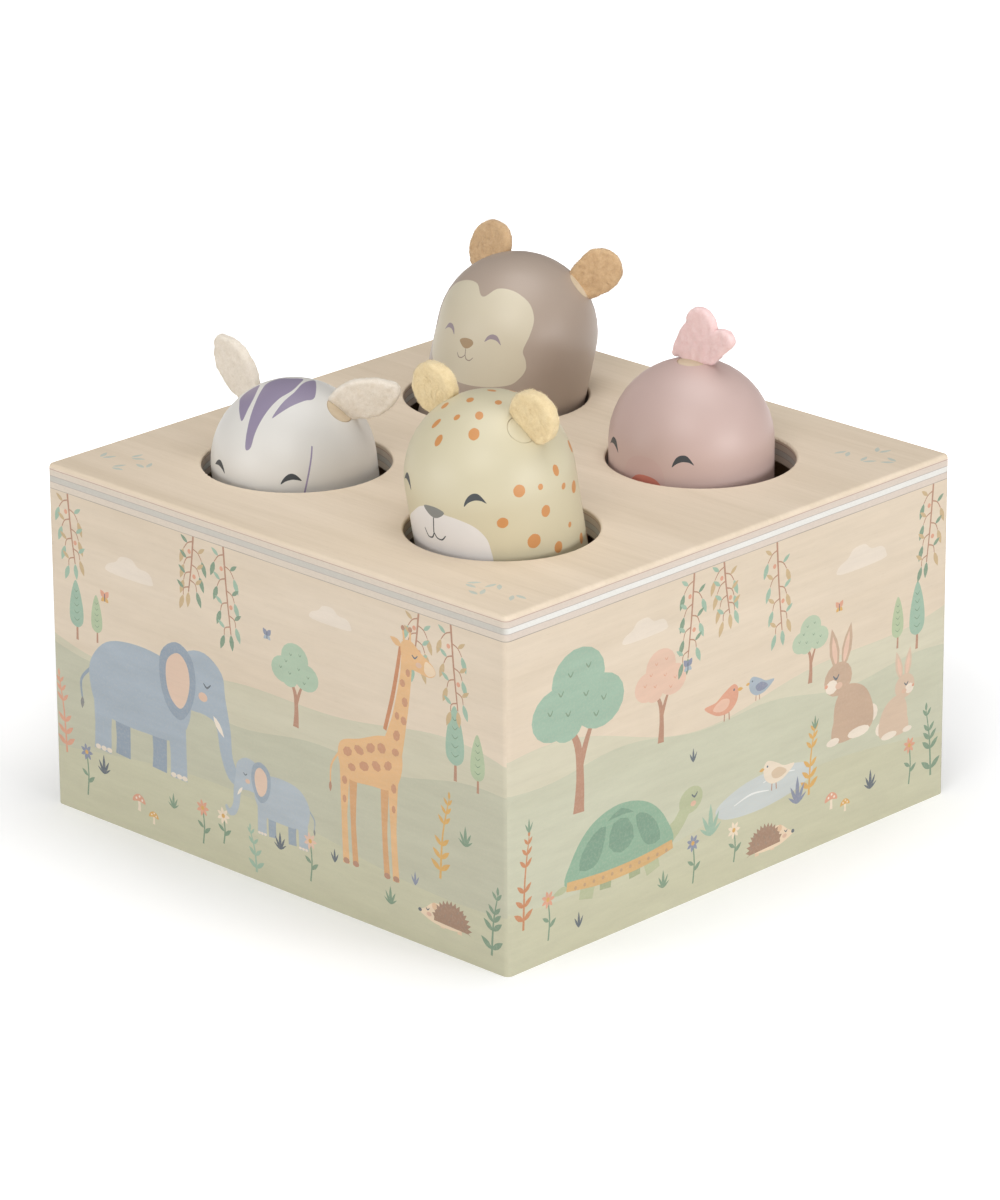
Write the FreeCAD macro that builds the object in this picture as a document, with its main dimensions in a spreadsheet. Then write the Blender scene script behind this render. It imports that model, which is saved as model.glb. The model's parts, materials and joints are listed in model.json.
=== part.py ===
import FreeCAD, Part
import math
import os
import Sketcher

# Pop up animal toy. A square plywood box has four round holes in its top.
# In each hole stands a loose wooden figure with a domed head and felt ears.
# Inside the box a coil spring carries each figure, between a foot and a cap.
#
# World frame: +Z up, origin in the middle of the box's underside.
# The figures look towards -Y.
#
# A figure is looser than its hole, so it stands a little off centre and leans.
# Its own frame has the origin at the centre of the domed head, +Z along the
# figure's axis, the face towards -Y and its two ears towards -X and +X.

V = FreeCAD.Vector
ORIGIN = V(0, 0, 0)
QUARTERS = ((1, 1), (-1, 1), (-1, -1), (1, -1))
TINY = 0.001
ARCS_PER_TURN = 4
WIRE_SIDES = 8

os.makedirs("parts", exist_ok=True)
doc = FreeCAD.newDocument("PopUpAnimals")
sheet = doc.addObject("Spreadsheet::Sheet", "Sizes")

# ---------------------------------------------------------------------------
# Driving dimensions: millimetres, degrees, or a plain share
# ---------------------------------------------------------------------------

BOX_SIZES = (
    ("box_width", "150"),
    ("box_depth", "150"),
    ("side_height", "80"),
    ("side_thickness", "6"),
    ("top_thickness", "6"),
    ("base_thickness", "6"),
    ("corner_round", "1.5"),
    ("top_edge_round", "1"),
    ("hole_pitch", "67"),
    ("hole_play", "6"),
    ("hole_edge_round", "0.5"),
    ("running_gap", "0.3"),
    ("base_gap", "0.1"),
    ("post_width", "12"),
    ("post_chamfer", "1.5"),
)

FIGURE_SIZES = (
    ("figure_diameter", "39"),
    ("figure_foot_chamfer", "1.2"),
    ("seat_gap", "0.1"),
    ("ear_hole_diameter", "7"),
    ("ear_hole_depth", "8"),
    ("ear_fit", "0.04"),
    ("felt_thickness", "2.2"),
    ("thick_felt_thickness", "3"),
    ("felt_front", "0.4"),
    ("ear_rise", "0.3"),
    ("root_lap", "0.6"),
    ("plug_sink", "0.35"),
    ("ear_tilt", "7"),
)

SPRING_SIZES = (
    ("wire_diameter", "1.2"),
    ("coil_diameter", "27"),
    ("spring_length", "30"),
    ("spring_turns", "6.5"),
    ("closed_turns", "1"),
    ("spring_gap", "0.3"),
    ("foot_diameter", "32"),
    ("foot_thickness", "4"),
    ("foot_spigot_length", "6"),
    ("cap_diameter", "34"),
    ("cap_thickness", "3.5"),
    ("cap_spigot_length", "4"),
    ("turned_chamfer", "0.8"),
)

SCREW_SIZES = (
    ("screw_shank_diameter", "3"),
    ("screw_head_diameter", "6.4"),
    ("screw_head_height", "1.9"),
    ("screw_length", "16"),
    ("screw_point_length", "3"),
    ("screw_sink", "0.4"),
    ("screw_play", "0.2"),
    ("recess_span", "3.2"),
    ("recess_slot", "0.9"),
    ("recess_depth", "1.2"),
)

# Each figure: where its hole is, how far it has slid off the hole's centre and
# which way, how far it leans and which way, where it looks, and its length.
# Both shares are of the play that the hole leaves. Headings are plan angles
# from +X towards +Y.
ZEBRA_SIZES = (
    ("zebra_length", "43.5"),
    ("zebra_shift_share", "0.15"),
    ("zebra_shift_heading", "-135.7"),
    ("zebra_lean_share", "0.4"),
    ("zebra_lean_heading", "-74"),
    ("zebra_turn", "13.5"),
    ("zebra_ear_base", "7.2"),
    ("zebra_ear_tip_width", "3.6"),
    ("zebra_left_ear_angle", "42.5"),
    ("zebra_left_ear_back", "10"),
    ("zebra_left_ear_length", "15"),
    ("zebra_left_ear_width", "11.5"),
    ("zebra_left_tip_offset", "0"),
    ("zebra_right_ear_angle", "42.5"),
    ("zebra_right_ear_back", "13"),
    ("zebra_right_ear_length", "13.6"),
    ("zebra_right_ear_width", "10"),
    ("zebra_right_tip_offset", "6"),
)

LEOPARD_SIZES = (
    ("leopard_length", "57.3"),
    ("leopard_shift_share", "0.11"),
    ("leopard_shift_heading", "-135.7"),
    ("leopard_lean_share", "0.44"),
    ("leopard_lean_heading", "-87"),
    ("leopard_turn", "1.5"),
    ("leopard_left_ear_angle", "38.5"),
    ("leopard_left_ear_back", "-4"),
    ("leopard_left_ear_base", "9.6"),
    ("leopard_left_ear_length", "9.9"),
    ("leopard_left_ear_width", "12.4"),
    ("leopard_right_ear_angle", "40.5"),
    ("leopard_right_ear_back", "0"),
    ("leopard_right_ear_base", "9.6"),
    ("leopard_right_ear_length", "9.6"),
    ("leopard_right_ear_width", "12.2"),
)

FLAMINGO_SIZES = (
    ("flamingo_length", "46.6"),
    ("flamingo_shift_share", "0.815"),
    ("flamingo_shift_heading", "-135.7"),
    ("flamingo_lean_share", "0"),
    ("flamingo_lean_heading", "0"),
    ("flamingo_turn", "4"),
    ("comb_length", "12.7"),
    ("comb_base", "13.2"),
    ("comb_big_lobe_centre", "1.6"),
    ("comb_big_lobe_diameter", "8"),
    ("comb_notch_height", "7.2"),
    ("comb_small_lobe_reach", "11.4"),
    ("comb_small_lobe_height", "8.6"),
    ("comb_small_lobe_rise", "1.7"),
)

MONKEY_SIZES = (
    ("monkey_length", "59.2"),
    ("monkey_shift_share", "0.48"),
    ("monkey_shift_heading", "44.3"),
    ("monkey_lean_share", "0.89"),
    ("monkey_lean_heading", "70.5"),
    ("monkey_turn", "5"),
    ("monkey_left_ear_angle", "44"),
    ("monkey_left_ear_back", "6"),
    ("monkey_left_ear_base", "9.6"),
    ("monkey_left_ear_length", "10.1"),
    ("monkey_left_ear_width", "13.6"),
    ("monkey_right_ear_angle", "40.5"),
    ("monkey_right_ear_back", "26"),
    ("monkey_right_ear_base", "8"),
    ("monkey_right_ear_length", "11"),
    ("monkey_right_ear_width", "10.2"),
)

ALL_SIZES = (BOX_SIZES + FIGURE_SIZES + SPRING_SIZES + SCREW_SIZES + ZEBRA_SIZES
             + LEOPARD_SIZES + FLAMINGO_SIZES + MONKEY_SIZES)

for row, (alias, text) in enumerate(ALL_SIZES, start=1):
    sheet.set("A%d" % row, alias)
    sheet.set("B%d" % row, text)
    sheet.setAlias("B%d" % row, alias)
doc.recompute()


def size(alias):
    """Value of one driving dimension."""
    return float(sheet.get(alias))


def worked_out(text):
    """Value of an expression over the sheet."""
    return float(sheet.evalExpression(text))


# ---------------------------------------------------------------------------
# Helpers for bodies, sketches and features
# ---------------------------------------------------------------------------

def new_body(label):
    """Empty body whose label is its node's name."""
    body = doc.addObject("PartDesign::Body", label)
    body.Label = label
    return body


def new_sketch(body, name, role, offset=None):
    """Sketch on one of the body's own origin planes, moved out along its normal."""
    sketch = body.newObject("Sketcher::SketchObject", name)
    plane = [item for item in body.Origin.OriginFeatures if item.Role == role][0]
    sketch.AttachmentSupport = [(plane, "")]
    sketch.MapMode = "FlatFace"
    if offset:
        sketch.setExpression("AttachmentOffset.Base.z", offset)
    return sketch


def drive(sketch, kind, where, expression):
    """Dimension bound to the sheet. A coordinate written "0" puts its point on an axis."""
    if expression == "0":
        axis = -2 if kind == "DistanceX" else -1
        sketch.addConstraint(Sketcher.Constraint("PointOnObject", where[0], where[1], axis))
        return
    if kind == "Radius":
        constraint = Sketcher.Constraint(kind, where[0], worked_out(expression))
    else:
        constraint = Sketcher.Constraint(kind, -1, 1, where[0], where[1], worked_out(expression))
    index = sketch.addConstraint(constraint)
    name = "size%d" % index
    sketch.renameConstraint(index, name)
    sketch.setExpression("Constraints." + name, expression)


def arc_between(start, end, radius, bulge, major):
    """Arc from start to end. bulge +1 swells to the right of the way, -1 to the left."""
    chord = end - start
    half = chord.Length / 2
    across = V(chord.y, -chord.x, 0).normalize() * bulge
    rise = math.sqrt(max(radius * radius - half * half, 0))
    centre = (start + end) * 0.5 + across * (rise if major else -rise)
    middle = centre + across * radius
    return Part.Arc(start, middle, end)


def outline(sketch, corners):
    """Closed outline. Each corner is (x, y, edge), as expressions over the sheet.

    The edge leads to the next corner. None is a straight line, (radius, bulge) an
    arc of driven radius, (radius, bulge, "major") the larger arc of that radius, and
    (radius, bulge, "half") a half circle between two corners at one level.
    """
    points = [V(worked_out(x), worked_out(y), 0) for x, y, edge in corners]
    ends = []
    for index, (x, y, edge) in enumerate(corners):
        start = points[index]
        end = points[(index + 1) % len(points)]
        if edge is None:
            item = sketch.addGeometry(Part.LineSegment(start, end))
            ends.append((item, 1, 2))
            continue
        radius, bulge = edge[0], edge[1]
        arc = arc_between(start, end, worked_out(radius), bulge, "major" in edge)
        item = sketch.addGeometry(arc)
        forward = sketch.getPoint(item, 1).distanceToPoint(start) < TINY
        ends.append((item, 1, 2) if forward else (item, 2, 1))
    for index, (item, first, last) in enumerate(ends):
        following, following_first = ends[(index + 1) % len(ends)][:2]
        sketch.addConstraint(Sketcher.Constraint("Coincident", item, last, following, following_first))
    for index, (x, y, edge) in enumerate(corners):
        drive(sketch, "DistanceX", ends[index][:2], x)
        drive(sketch, "DistanceY", ends[index][:2], y)
        if edge is not None and "half" in edge:
            drive(sketch, "DistanceY", (ends[index][0], 3), y)
        elif edge is not None:
            drive(sketch, "Radius", ends[index][:1], edge[0])


def circle(sketch, x, y, radius):
    """Driven circle."""
    start = V(worked_out(x), worked_out(y), 0)
    item = sketch.addGeometry(Part.Circle(start, V(0, 0, 1), worked_out(radius)))
    drive(sketch, "DistanceX", (item, 3), x)
    drive(sketch, "DistanceY", (item, 3), y)
    drive(sketch, "Radius", (item,), radius)


def rectangle(sketch, half_width, half_depth):
    """Driven rectangle about the origin."""
    outline(sketch, (
        ("-(%s)" % half_width, "-(%s)" % half_depth, None),
        (half_width, "-(%s)" % half_depth, None),
        (half_width, half_depth, None),
        ("-(%s)" % half_width, half_depth, None),
    ))


def pad(body, sketch, length, reverse=False, both_ways=False):
    """Pad of a sketch, as long as the expression says."""
    feature = body.newObject("PartDesign::Pad", sketch.Name + "_pad")
    feature.Profile = sketch
    feature.Reversed = reverse
    if both_ways:
        feature.SideType = "Symmetric"
    feature.setExpression("Length", length)
    return feature


def pocket(body, sketch, length, reverse=False):
    """Pocket of a sketch. It must take something away."""
    doc.recompute()
    before = body.Shape.Volume
    feature = body.newObject("PartDesign::Pocket", sketch.Name + "_pocket")
    feature.Profile = sketch
    feature.Reversed = reverse
    feature.setExpression("Length", length)
    doc.recompute()
    if not feature.Shape.Volume < before:
        raise RuntimeError(sketch.Name + " cuts nothing")
    return feature


def turned(body, corners):
    """Turned piece: a half outline in X and Z, revolved about the Z axis."""
    sketch = new_sketch(body, body.Name + "_profile", "XZ_Plane")
    outline(sketch, corners)
    feature = body.newObject("PartDesign::Revolution", body.Name + "_turning")
    feature.Profile = sketch
    feature.ReferenceAxis = (sketch, ["V_Axis"])
    feature.Angle = 360
    return feature


def round_edges(body, feature, wanted, radius):
    """Fillet of the edges that the test picks from a feature."""
    doc.recompute()
    names = ["Edge%d" % (index + 1) for index, edge in enumerate(feature.Shape.Edges) if wanted(edge)]
    if not names:
        raise RuntimeError(body.Name + " has no edge to round")
    fillet = body.newObject("PartDesign::Fillet", body.Name + "_round")
    fillet.Base = (feature, names)
    fillet.setExpression("Radius", radius)
    doc.recompute()
    return fillet


def drill(body, name, radius, height, placement):
    """Round hole along the Z axis of a placement, from its origin upwards."""
    hole = body.newObject("PartDesign::SubtractiveCylinder", name)
    hole.setExpression("Radius", radius)
    hole.setExpression("Height", height)
    hole.Placement = placement
    return hole


# ---------------------------------------------------------------------------
# Box: mitred sides, top with four holes, base, corner posts
# ---------------------------------------------------------------------------

HALF_PITCH = "Sizes.hole_pitch / 2"
HOLE_RADIUS = "(Sizes.figure_diameter + Sizes.hole_play) / 2"
INSET_WIDTH = "Sizes.box_width / 2 - Sizes.side_thickness"
INSET_DEPTH = "Sizes.box_depth / 2 - Sizes.side_thickness"
POST_INSET = "Sizes.side_thickness + Sizes.post_width / 2"


def side_panel(label, across, away, turn):
    """One side: mitred at both ends, with its share of the rounded corners."""
    body = new_body(label)
    half = "Sizes.%s / 2" % across
    face = "Sizes.%s / 2" % away
    bow = "Sizes.corner_round"
    cut = "Sizes.corner_round * (1 - sqrt(0.5))"
    inner = "Sizes.side_thickness"
    sketch = new_sketch(body, label + "_outline", "XY_Plane")
    outline(sketch, (
        ("-(%s - %s)" % (half, bow), "-(%s)" % face, None),
        ("%s - %s" % (half, bow), "-(%s)" % face, (bow, 1)),
        ("%s - %s" % (half, cut), "-(%s - %s)" % (face, cut), None),
        ("%s - %s" % (half, inner), "-(%s - %s)" % (face, inner), None),
        ("-(%s - %s)" % (half, inner), "-(%s - %s)" % (face, inner), None),
        ("-(%s - %s)" % (half, cut), "-(%s - %s)" % (face, cut), (bow, 1)),
    ))
    pad(body, sketch, "Sizes.side_height")
    body.Placement = FreeCAD.Placement(ORIGIN, FreeCAD.Rotation(V(0, 0, 1), turn))
    return body


def around(body, feature, sketch):
    """The same feature four times, a quarter turn apart."""
    pattern = body.newObject("PartDesign::PolarPattern", feature.Name + "_around")
    pattern.Originals = [feature]
    pattern.Axis = (sketch, ["N_Axis"])
    pattern.Angle = 360
    pattern.Occurrences = 4
    body.Tip = pattern
    doc.recompute()
    return pattern


def is_upright(edge):
    """Straight edge along Z."""
    return edge.Curve.TypeId == "Part::GeomLine" and abs(edge.tangentAt(edge.FirstParameter).z) > 1 - TINY


def top_panel():
    """Plywood lid with four round holes, rounded at its corners and upper edges."""
    body = new_body("top_panel")
    sheet_outline = new_sketch(body, "lid_outline", "XY_Plane")
    rectangle(sheet_outline, "Sizes.box_width / 2", "Sizes.box_depth / 2")
    slab = pad(body, sheet_outline, "Sizes.top_thickness")
    corners = round_edges(body, slab, is_upright, "Sizes.corner_round")
    height = size("top_thickness")

    def is_upper_rim(edge):
        return edge.BoundBox.ZMin > height - TINY

    round_edges(body, corners, is_upper_rim, "Sizes.top_edge_round")
    hole = new_sketch(body, "hole_outline", "XY_Plane")
    circle(hole, HALF_PITCH, HALF_PITCH, HOLE_RADIUS)
    cut = pocket(body, hole, "Sizes.top_thickness", reverse=True)
    holes = around(body, cut, hole)

    def is_hole_rim(edge):
        return edge.Curve.TypeId == "Part::GeomCircle" and edge.BoundBox.ZMin > height - TINY

    round_edges(body, holes, is_hole_rim, "Sizes.hole_edge_round")
    body.Placement = FreeCAD.Placement(V(0, 0, size("side_height")), FreeCAD.Rotation())
    return body


def countersunk(body, name, x, y):
    """Countersunk holes at (+-x, +-y), bored up from the underside of the base."""
    radius = "(Sizes.screw_shank_diameter + Sizes.screw_play) / 2"
    bore = new_sketch(body, name, "XY_Plane")
    for side_x, side_y in QUARTERS:
        circle(bore, "%d * (%s)" % (side_x, x), "%d * (%s)" % (side_y, y), radius)
    pocket(body, bore, "Sizes.base_thickness", reverse=True)
    for index, (side_x, side_y) in enumerate(QUARTERS):
        sink = body.newObject("PartDesign::SubtractiveCone", "%s_sink_%d" % (name, index + 1))
        sink.setExpression("Radius1", "Sizes.screw_head_diameter / 2 + Sizes.screw_sink")
        sink.setExpression("Radius2", radius)
        sink.setExpression("Height", "Sizes.screw_head_height + Sizes.screw_sink")
        place = V(side_x * worked_out(x), side_y * worked_out(y), 0)
        sink.Placement = FreeCAD.Placement(place, FreeCAD.Rotation())


def base_panel():
    """Plywood base, set in flush between the sides."""
    body = new_body("base_panel")
    plan = new_sketch(body, "base_outline", "XY_Plane")
    rectangle(plan, INSET_WIDTH + " - Sizes.base_gap", INSET_DEPTH + " - Sizes.base_gap")
    pad(body, plan, "Sizes.base_thickness")
    countersunk(body, "foot_bore", HALF_PITCH, HALF_PITCH)
    countersunk(body, "post_bore", "Sizes.box_width / 2 - (%s)" % POST_INSET,
                "Sizes.box_depth / 2 - (%s)" % POST_INSET)
    return body


def corner_post(label, side_x, side_y):
    """Glue block in one corner of the box, with a pilot hole for its base screw."""
    body = new_body(label)
    plan = new_sketch(body, label + "_outline", "XY_Plane", "Sizes.base_thickness")
    rectangle(plan, "Sizes.post_width / 2", "Sizes.post_width / 2")
    block = pad(body, plan, "Sizes.side_height - Sizes.base_thickness")
    doc.recompute()

    def is_inner(edge):
        middle = edge.valueAt((edge.FirstParameter + edge.LastParameter) / 2)
        return is_upright(edge) and middle.x * side_x < 0 and middle.y * side_y < 0

    names = ["Edge%d" % (index + 1) for index, edge in enumerate(block.Shape.Edges) if is_inner(edge)]
    chamfer = body.newObject("PartDesign::Chamfer", label + "_chamfer")
    chamfer.Base = (block, names)
    chamfer.setExpression("Size", "Sizes.post_chamfer")
    pilot_hole(body, label, "Sizes.base_thickness")
    inset = worked_out(POST_INSET)
    place = V(side_x * (size("box_width") / 2 - inset), side_y * (size("box_depth") / 2 - inset), 0)
    body.Placement = FreeCAD.Placement(place, FreeCAD.Rotation())
    return body


def pilot_hole(body, label, bottom):
    """Hole for a screw that comes up through the base, a little deeper than the screw."""
    bore = new_sketch(body, label + "_pilot", "XY_Plane", bottom)
    circle(bore, "0", "0", "(Sizes.screw_shank_diameter + Sizes.screw_play) / 2")
    depth = "Sizes.screw_length - Sizes.base_thickness + Sizes.screw_play + Sizes.screw_sink"
    return pocket(body, bore, depth, reverse=True)


# ---------------------------------------------------------------------------
# Screws
# ---------------------------------------------------------------------------

def screw(name, x, y):
    """Countersunk wood screw, head down, with a cross recess in its head."""
    body = new_body(name)
    shank = "Sizes.screw_shank_diameter / 2"
    turned(body, (
        ("0", "Sizes.screw_sink", None),
        ("Sizes.screw_head_diameter / 2", "Sizes.screw_sink", None),
        (shank, "Sizes.screw_sink + Sizes.screw_head_height", None),
        (shank, "Sizes.screw_length - Sizes.screw_point_length", None),
        ("0", "Sizes.screw_length", None),
    ))
    recess = new_sketch(body, name + "_recess", "XY_Plane", "Sizes.screw_sink")
    span = "Sizes.recess_span / 2"
    slot = "Sizes.recess_slot / 2"
    arm = ((span, slot), (slot, slot), (slot, span))
    corners = []
    for sign_x, sign_y, points in ((1, 1, arm), (-1, 1, arm[::-1]), (-1, -1, arm), (1, -1, arm[::-1])):
        for px, py in points:
            corners.append((px if sign_x > 0 else "-(%s)" % px, py if sign_y > 0 else "-(%s)" % py, None))
    outline(recess, corners)
    pocket(body, recess, "Sizes.recess_depth", reverse=True)
    body.Placement = FreeCAD.Placement(V(x, y, 0), FreeCAD.Rotation())
    return body


def screw_group(label, x, y):
    """Four screws at (+-x, +-y), one node."""
    group = doc.addObject("Part::Compound", label)
    group.Label = label
    group.Links = [screw("%s_%d" % (label, index + 1), sx * x, sy * y)
                   for index, (sx, sy) in enumerate(QUARTERS)]
    return group


# ---------------------------------------------------------------------------
# Springs and what holds them
# ---------------------------------------------------------------------------

SPIGOT_RADIUS = "(Sizes.coil_diameter / 2 - Sizes.wire_diameter - Sizes.spring_gap)"
EDGE = "Sizes.turned_chamfer"


def spring_foot(label, x, y):
    """Turned foot: a flange on the base and a spigot up inside the coil."""
    body = new_body(label)
    flange = "Sizes.foot_diameter / 2"
    flange_top = "(Sizes.base_thickness + Sizes.foot_thickness)"
    top = "(%s + Sizes.foot_spigot_length)" % flange_top
    turned(body, (
        ("0", "Sizes.base_thickness", None),
        (flange, "Sizes.base_thickness", None),
        (flange, "%s - %s" % (flange_top, EDGE), None),
        ("%s - %s" % (flange, EDGE), flange_top, None),
        (SPIGOT_RADIUS, flange_top, None),
        (SPIGOT_RADIUS, "%s - %s" % (top, EDGE), None),
        ("%s - %s" % (SPIGOT_RADIUS, EDGE), top, None),
        ("0", top, None),
    ))
    pilot_hole(body, label, "Sizes.base_thickness")
    body.Placement = FreeCAD.Placement(V(x, y, 0), FreeCAD.Rotation())
    return body


def spring_cap(label, placement):
    """Turned cap: a disc for the figure to stand on and a spigot down inside the coil.

    Its own origin is the middle of the disc's upper face.
    """
    body = new_body(label)
    disc = "Sizes.cap_diameter / 2"
    below = "Sizes.cap_thickness"
    bottom = "(%s + Sizes.cap_spigot_length)" % below
    turned(body, (
        ("0", "0", None),
        ("%s - %s" % (disc, EDGE), "0", None),
        (disc, "-%s" % EDGE, None),
        (disc, "-%s" % below, None),
        (SPIGOT_RADIUS, "-%s" % below, None),
        (SPIGOT_RADIUS, "-(%s - %s)" % (bottom, EDGE), None),
        ("%s - %s" % (SPIGOT_RADIUS, EDGE), "-%s" % bottom, None),
        ("0", "-%s" % bottom, None),
    ))
    body.Placement = placement
    return body


def bend(start, start_way, end, end_way, share):
    """Point on the curve that leaves one end and enters the other along given ways."""
    reach = (end - start).Length / 3
    pull = start + start_way * reach
    push = end - end_way * reach
    rest = 1 - share
    return (start * rest ** 3 + pull * (3 * rest ** 2 * share)
            + push * (3 * rest * share ** 2) + end * share ** 3)


def coil_spring(label, start, end, end_way):
    """Compression spring with closed end turns, between an upright foot and a leaning cap.

    Its centre line runs straight over each spigot and bends between them. Its turns
    go over from level ones at the foot to turns that lie square to the cap's axis.
    """
    wire = size("wire_diameter")
    gap = size("spring_gap")
    radius = (size("coil_diameter") - wire) / 2
    turns = size("spring_turns")
    closed = size("closed_turns")
    upright = V(0, 0, 1)
    low = size("foot_spigot_length") + wire
    high = size("cap_spigot_length") + wire
    bend_start = start + upright * low
    bend_end = end - end_way * high
    bent = (bend_end - bend_start).Length
    length = low + bent + high
    open_height = length - 2 * gap - wire - 2 * wire * closed

    def centre_line(height):
        if height < low:
            return start + upright * height
        if height > low + bent:
            return end - end_way * (length - height)
        return bend(bend_start, upright, bend_end, end_way, (height - low) / bent)

    def on_wire(turn):
        """Centre of the wire after so many turns from the foot."""
        open_share = min(max(turn - closed, 0) / (turns - 2 * closed), 1)
        wound = min(turn, closed) + max(turn - turns + closed, 0)
        height = gap + wire / 2 + wire * wound + open_height * open_share
        share = min(max((height - low) / bent, 0), 1)
        way = (upright * (1 - share) + end_way * share).normalize()
        side = V(0, 1, 0).cross(way).normalize()
        back = way.cross(side)
        angle = 2 * math.pi * turn
        return centre_line(height) + side * (radius * math.cos(angle)) + back * (radius * math.sin(angle))

    count = int(round(turns * ARCS_PER_TURN))
    arcs = []
    for step in range(count):
        ends = [on_wire(turns * (step + part) / count) for part in (0, 0.5, 1)]
        arcs.append(Part.Arc(*ends).toShape())
    path = Part.Wire(arcs)
    begin = arcs[0].FirstParameter
    centre = arcs[0].valueAt(begin)
    across = V(0, 0, 1).cross(arcs[0].tangentAt(begin)).normalize()
    around_wire = FreeCAD.Rotation(arcs[0].tangentAt(begin), 360 / WIRE_SIDES)
    corners = []
    for side in range(WIRE_SIDES):
        corners.append(centre + across * (wire / 2))
        across = around_wire.multVec(across)
    section = Part.makePolygon(corners + corners[:1])
    spring = doc.addObject("Part::Feature", label)
    spring.Label = label
    spring.Shape = path.makePipe(Part.Face(section))
    return spring


# ---------------------------------------------------------------------------
# Figures
# ---------------------------------------------------------------------------

RADIUS = "Sizes.figure_diameter / 2"


def plan_way(heading):
    """Level direction at a plan angle."""
    return V(math.cos(math.radians(heading)), math.sin(math.radians(heading)), 0)


def figure_stance(animal, side_x, side_y):
    """Where a figure stands: its axis, its seat on the cap and its own frame.

    The figure slides off its hole's centre by a share of the play, then leans
    until it has used a share of what is left.
    """
    play = size("hole_play") / 2 - size("running_gap")
    shift = play * size(animal + "_shift_share")
    use = (play - shift) * size(animal + "_lean_share")
    half_top = size("top_thickness") / 2
    radius = size("figure_diameter") / 2
    lean = (math.sqrt(half_top ** 2 + 2 * radius * use) - half_top) / radius
    axis = V(0, 0, math.cos(lean)) + plan_way(size(animal + "_lean_heading")) * math.sin(lean)
    pitch = size("hole_pitch") / 2
    middle = V(side_x * pitch, side_y * pitch, size("side_height") + half_top)
    middle = middle + plan_way(size(animal + "_shift_heading")) * shift
    seat_height = (size("base_thickness") + size("foot_thickness") + size("spring_length")
                   + size("cap_thickness"))
    seat = middle - axis * ((middle.z - seat_height) / axis.z)
    upright = FreeCAD.Rotation(V(0, 0, 1), axis)
    facing = upright.multiply(FreeCAD.Rotation(V(0, 0, 1), size(animal + "_turn")))
    head = seat + axis * (size("seat_gap") + size(animal + "_length"))
    return axis, FreeCAD.Placement(seat, facing), FreeCAD.Placement(head, facing)


def ear_frame(side, angle, back, tilt):
    """Frame of a drilled ear hole, in the figure's own frame.

    Its origin is on the dome and its +Z is the way the hole is drilled, outwards.
    side is -1 for the left ear, +1 for the right ear.
    """
    around_axis = FreeCAD.Rotation(V(0, 0, 1), side * back)
    down = FreeCAD.Rotation(V(0, 1, 0), side * angle)
    way = around_axis.multiply(down)
    surface = way.multVec(V(0, 0, size("figure_diameter") / 2))
    return FreeCAD.Placement(surface, way.multiply(FreeCAD.Rotation(V(1, 0, 0), -tilt)))


def figure_body(label, length, holes, placement):
    """Turned figure: a straight body under a domed head, drilled for its ears."""
    body = new_body(label)
    chamfer = "Sizes.figure_foot_chamfer"
    turned(body, (
        ("0", RADIUS, None),
        ("0", "-(%s)" % length, None),
        ("%s - %s" % (RADIUS, chamfer), "-(%s)" % length, None),
        (RADIUS, "-(%s - %s)" % (length, chamfer), None),
        (RADIUS, "0", (RADIUS, 1)),
    ))
    for index, frame in enumerate(holes):
        deep = frame.multiply(FreeCAD.Placement(V(0, 0, -size("ear_hole_depth")), FreeCAD.Rotation()))
        drill(body, "%s_hole_%d" % (label, index + 1), "Sizes.ear_hole_diameter / 2",
              "2 * Sizes.ear_hole_depth", deep)
    body.Placement = placement
    return body


PEG_RADIUS = "(Sizes.ear_hole_diameter / 2 - Sizes.ear_fit)"
FELT_FRONT = "Sizes.felt_front"
PEG_BOTTOM = "(Sizes.ear_hole_depth - Sizes.ear_fit)"


def chord(level):
    """Half width of the ear's root or plug at a distance behind the hole's axis."""
    return "sqrt(%s ^ 2 - (%s) ^ 2)" % (PEG_RADIUS, level)


def felt_piece(label, thickness, blade, frame):
    """Felt ear: a flat blade outside the dome and a root that fills the back of its hole.

    blade lists the corners of the blade's outline, across and up from the dome.
    """
    body = new_body(label)
    back = "(%s + Sizes.%s)" % (FELT_FRONT, thickness)
    flat = new_sketch(body, label + "_blade", "XZ_Plane", "-(%s + Sizes.%s / 2)" % (FELT_FRONT, thickness))
    outline(flat, blade)
    pad(body, flat, "Sizes." + thickness, both_ways=True)
    root = new_sketch(body, label + "_root", "XY_Plane", "Sizes.root_lap")
    outline(root, (
        ("-" + chord(FELT_FRONT), FELT_FRONT, None),
        (chord(FELT_FRONT), FELT_FRONT, (PEG_RADIUS, 1)),
        (chord(back), back, None),
        ("-" + chord(back), back, (PEG_RADIUS, 1)),
    ))
    pad(body, root, "%s + Sizes.root_lap" % PEG_BOTTOM, reverse=True)
    body.Placement = frame
    return body


def ear_plug(label, frame):
    """Wooden dowel with one flat side, driven in front of the felt and cut level."""
    body = new_body(label)
    level = "(%s - Sizes.ear_fit)" % FELT_FRONT
    section = new_sketch(body, label + "_section", "XY_Plane", "-Sizes.plug_sink")
    outline(section, (
        (chord(level), level, None),
        ("-" + chord(level), level, (PEG_RADIUS, 1, "major")),
    ))
    pad(body, section, "%s - Sizes.plug_sink" % PEG_BOTTOM, reverse=True)
    body.Placement = frame
    return body


def swell(half_chord, rise):
    """Radius of an arc with this half chord and this rise."""
    return "((%s) ^ 2 + (%s) ^ 2) / (2 * (%s))" % (half_chord, rise, rise)


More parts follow.
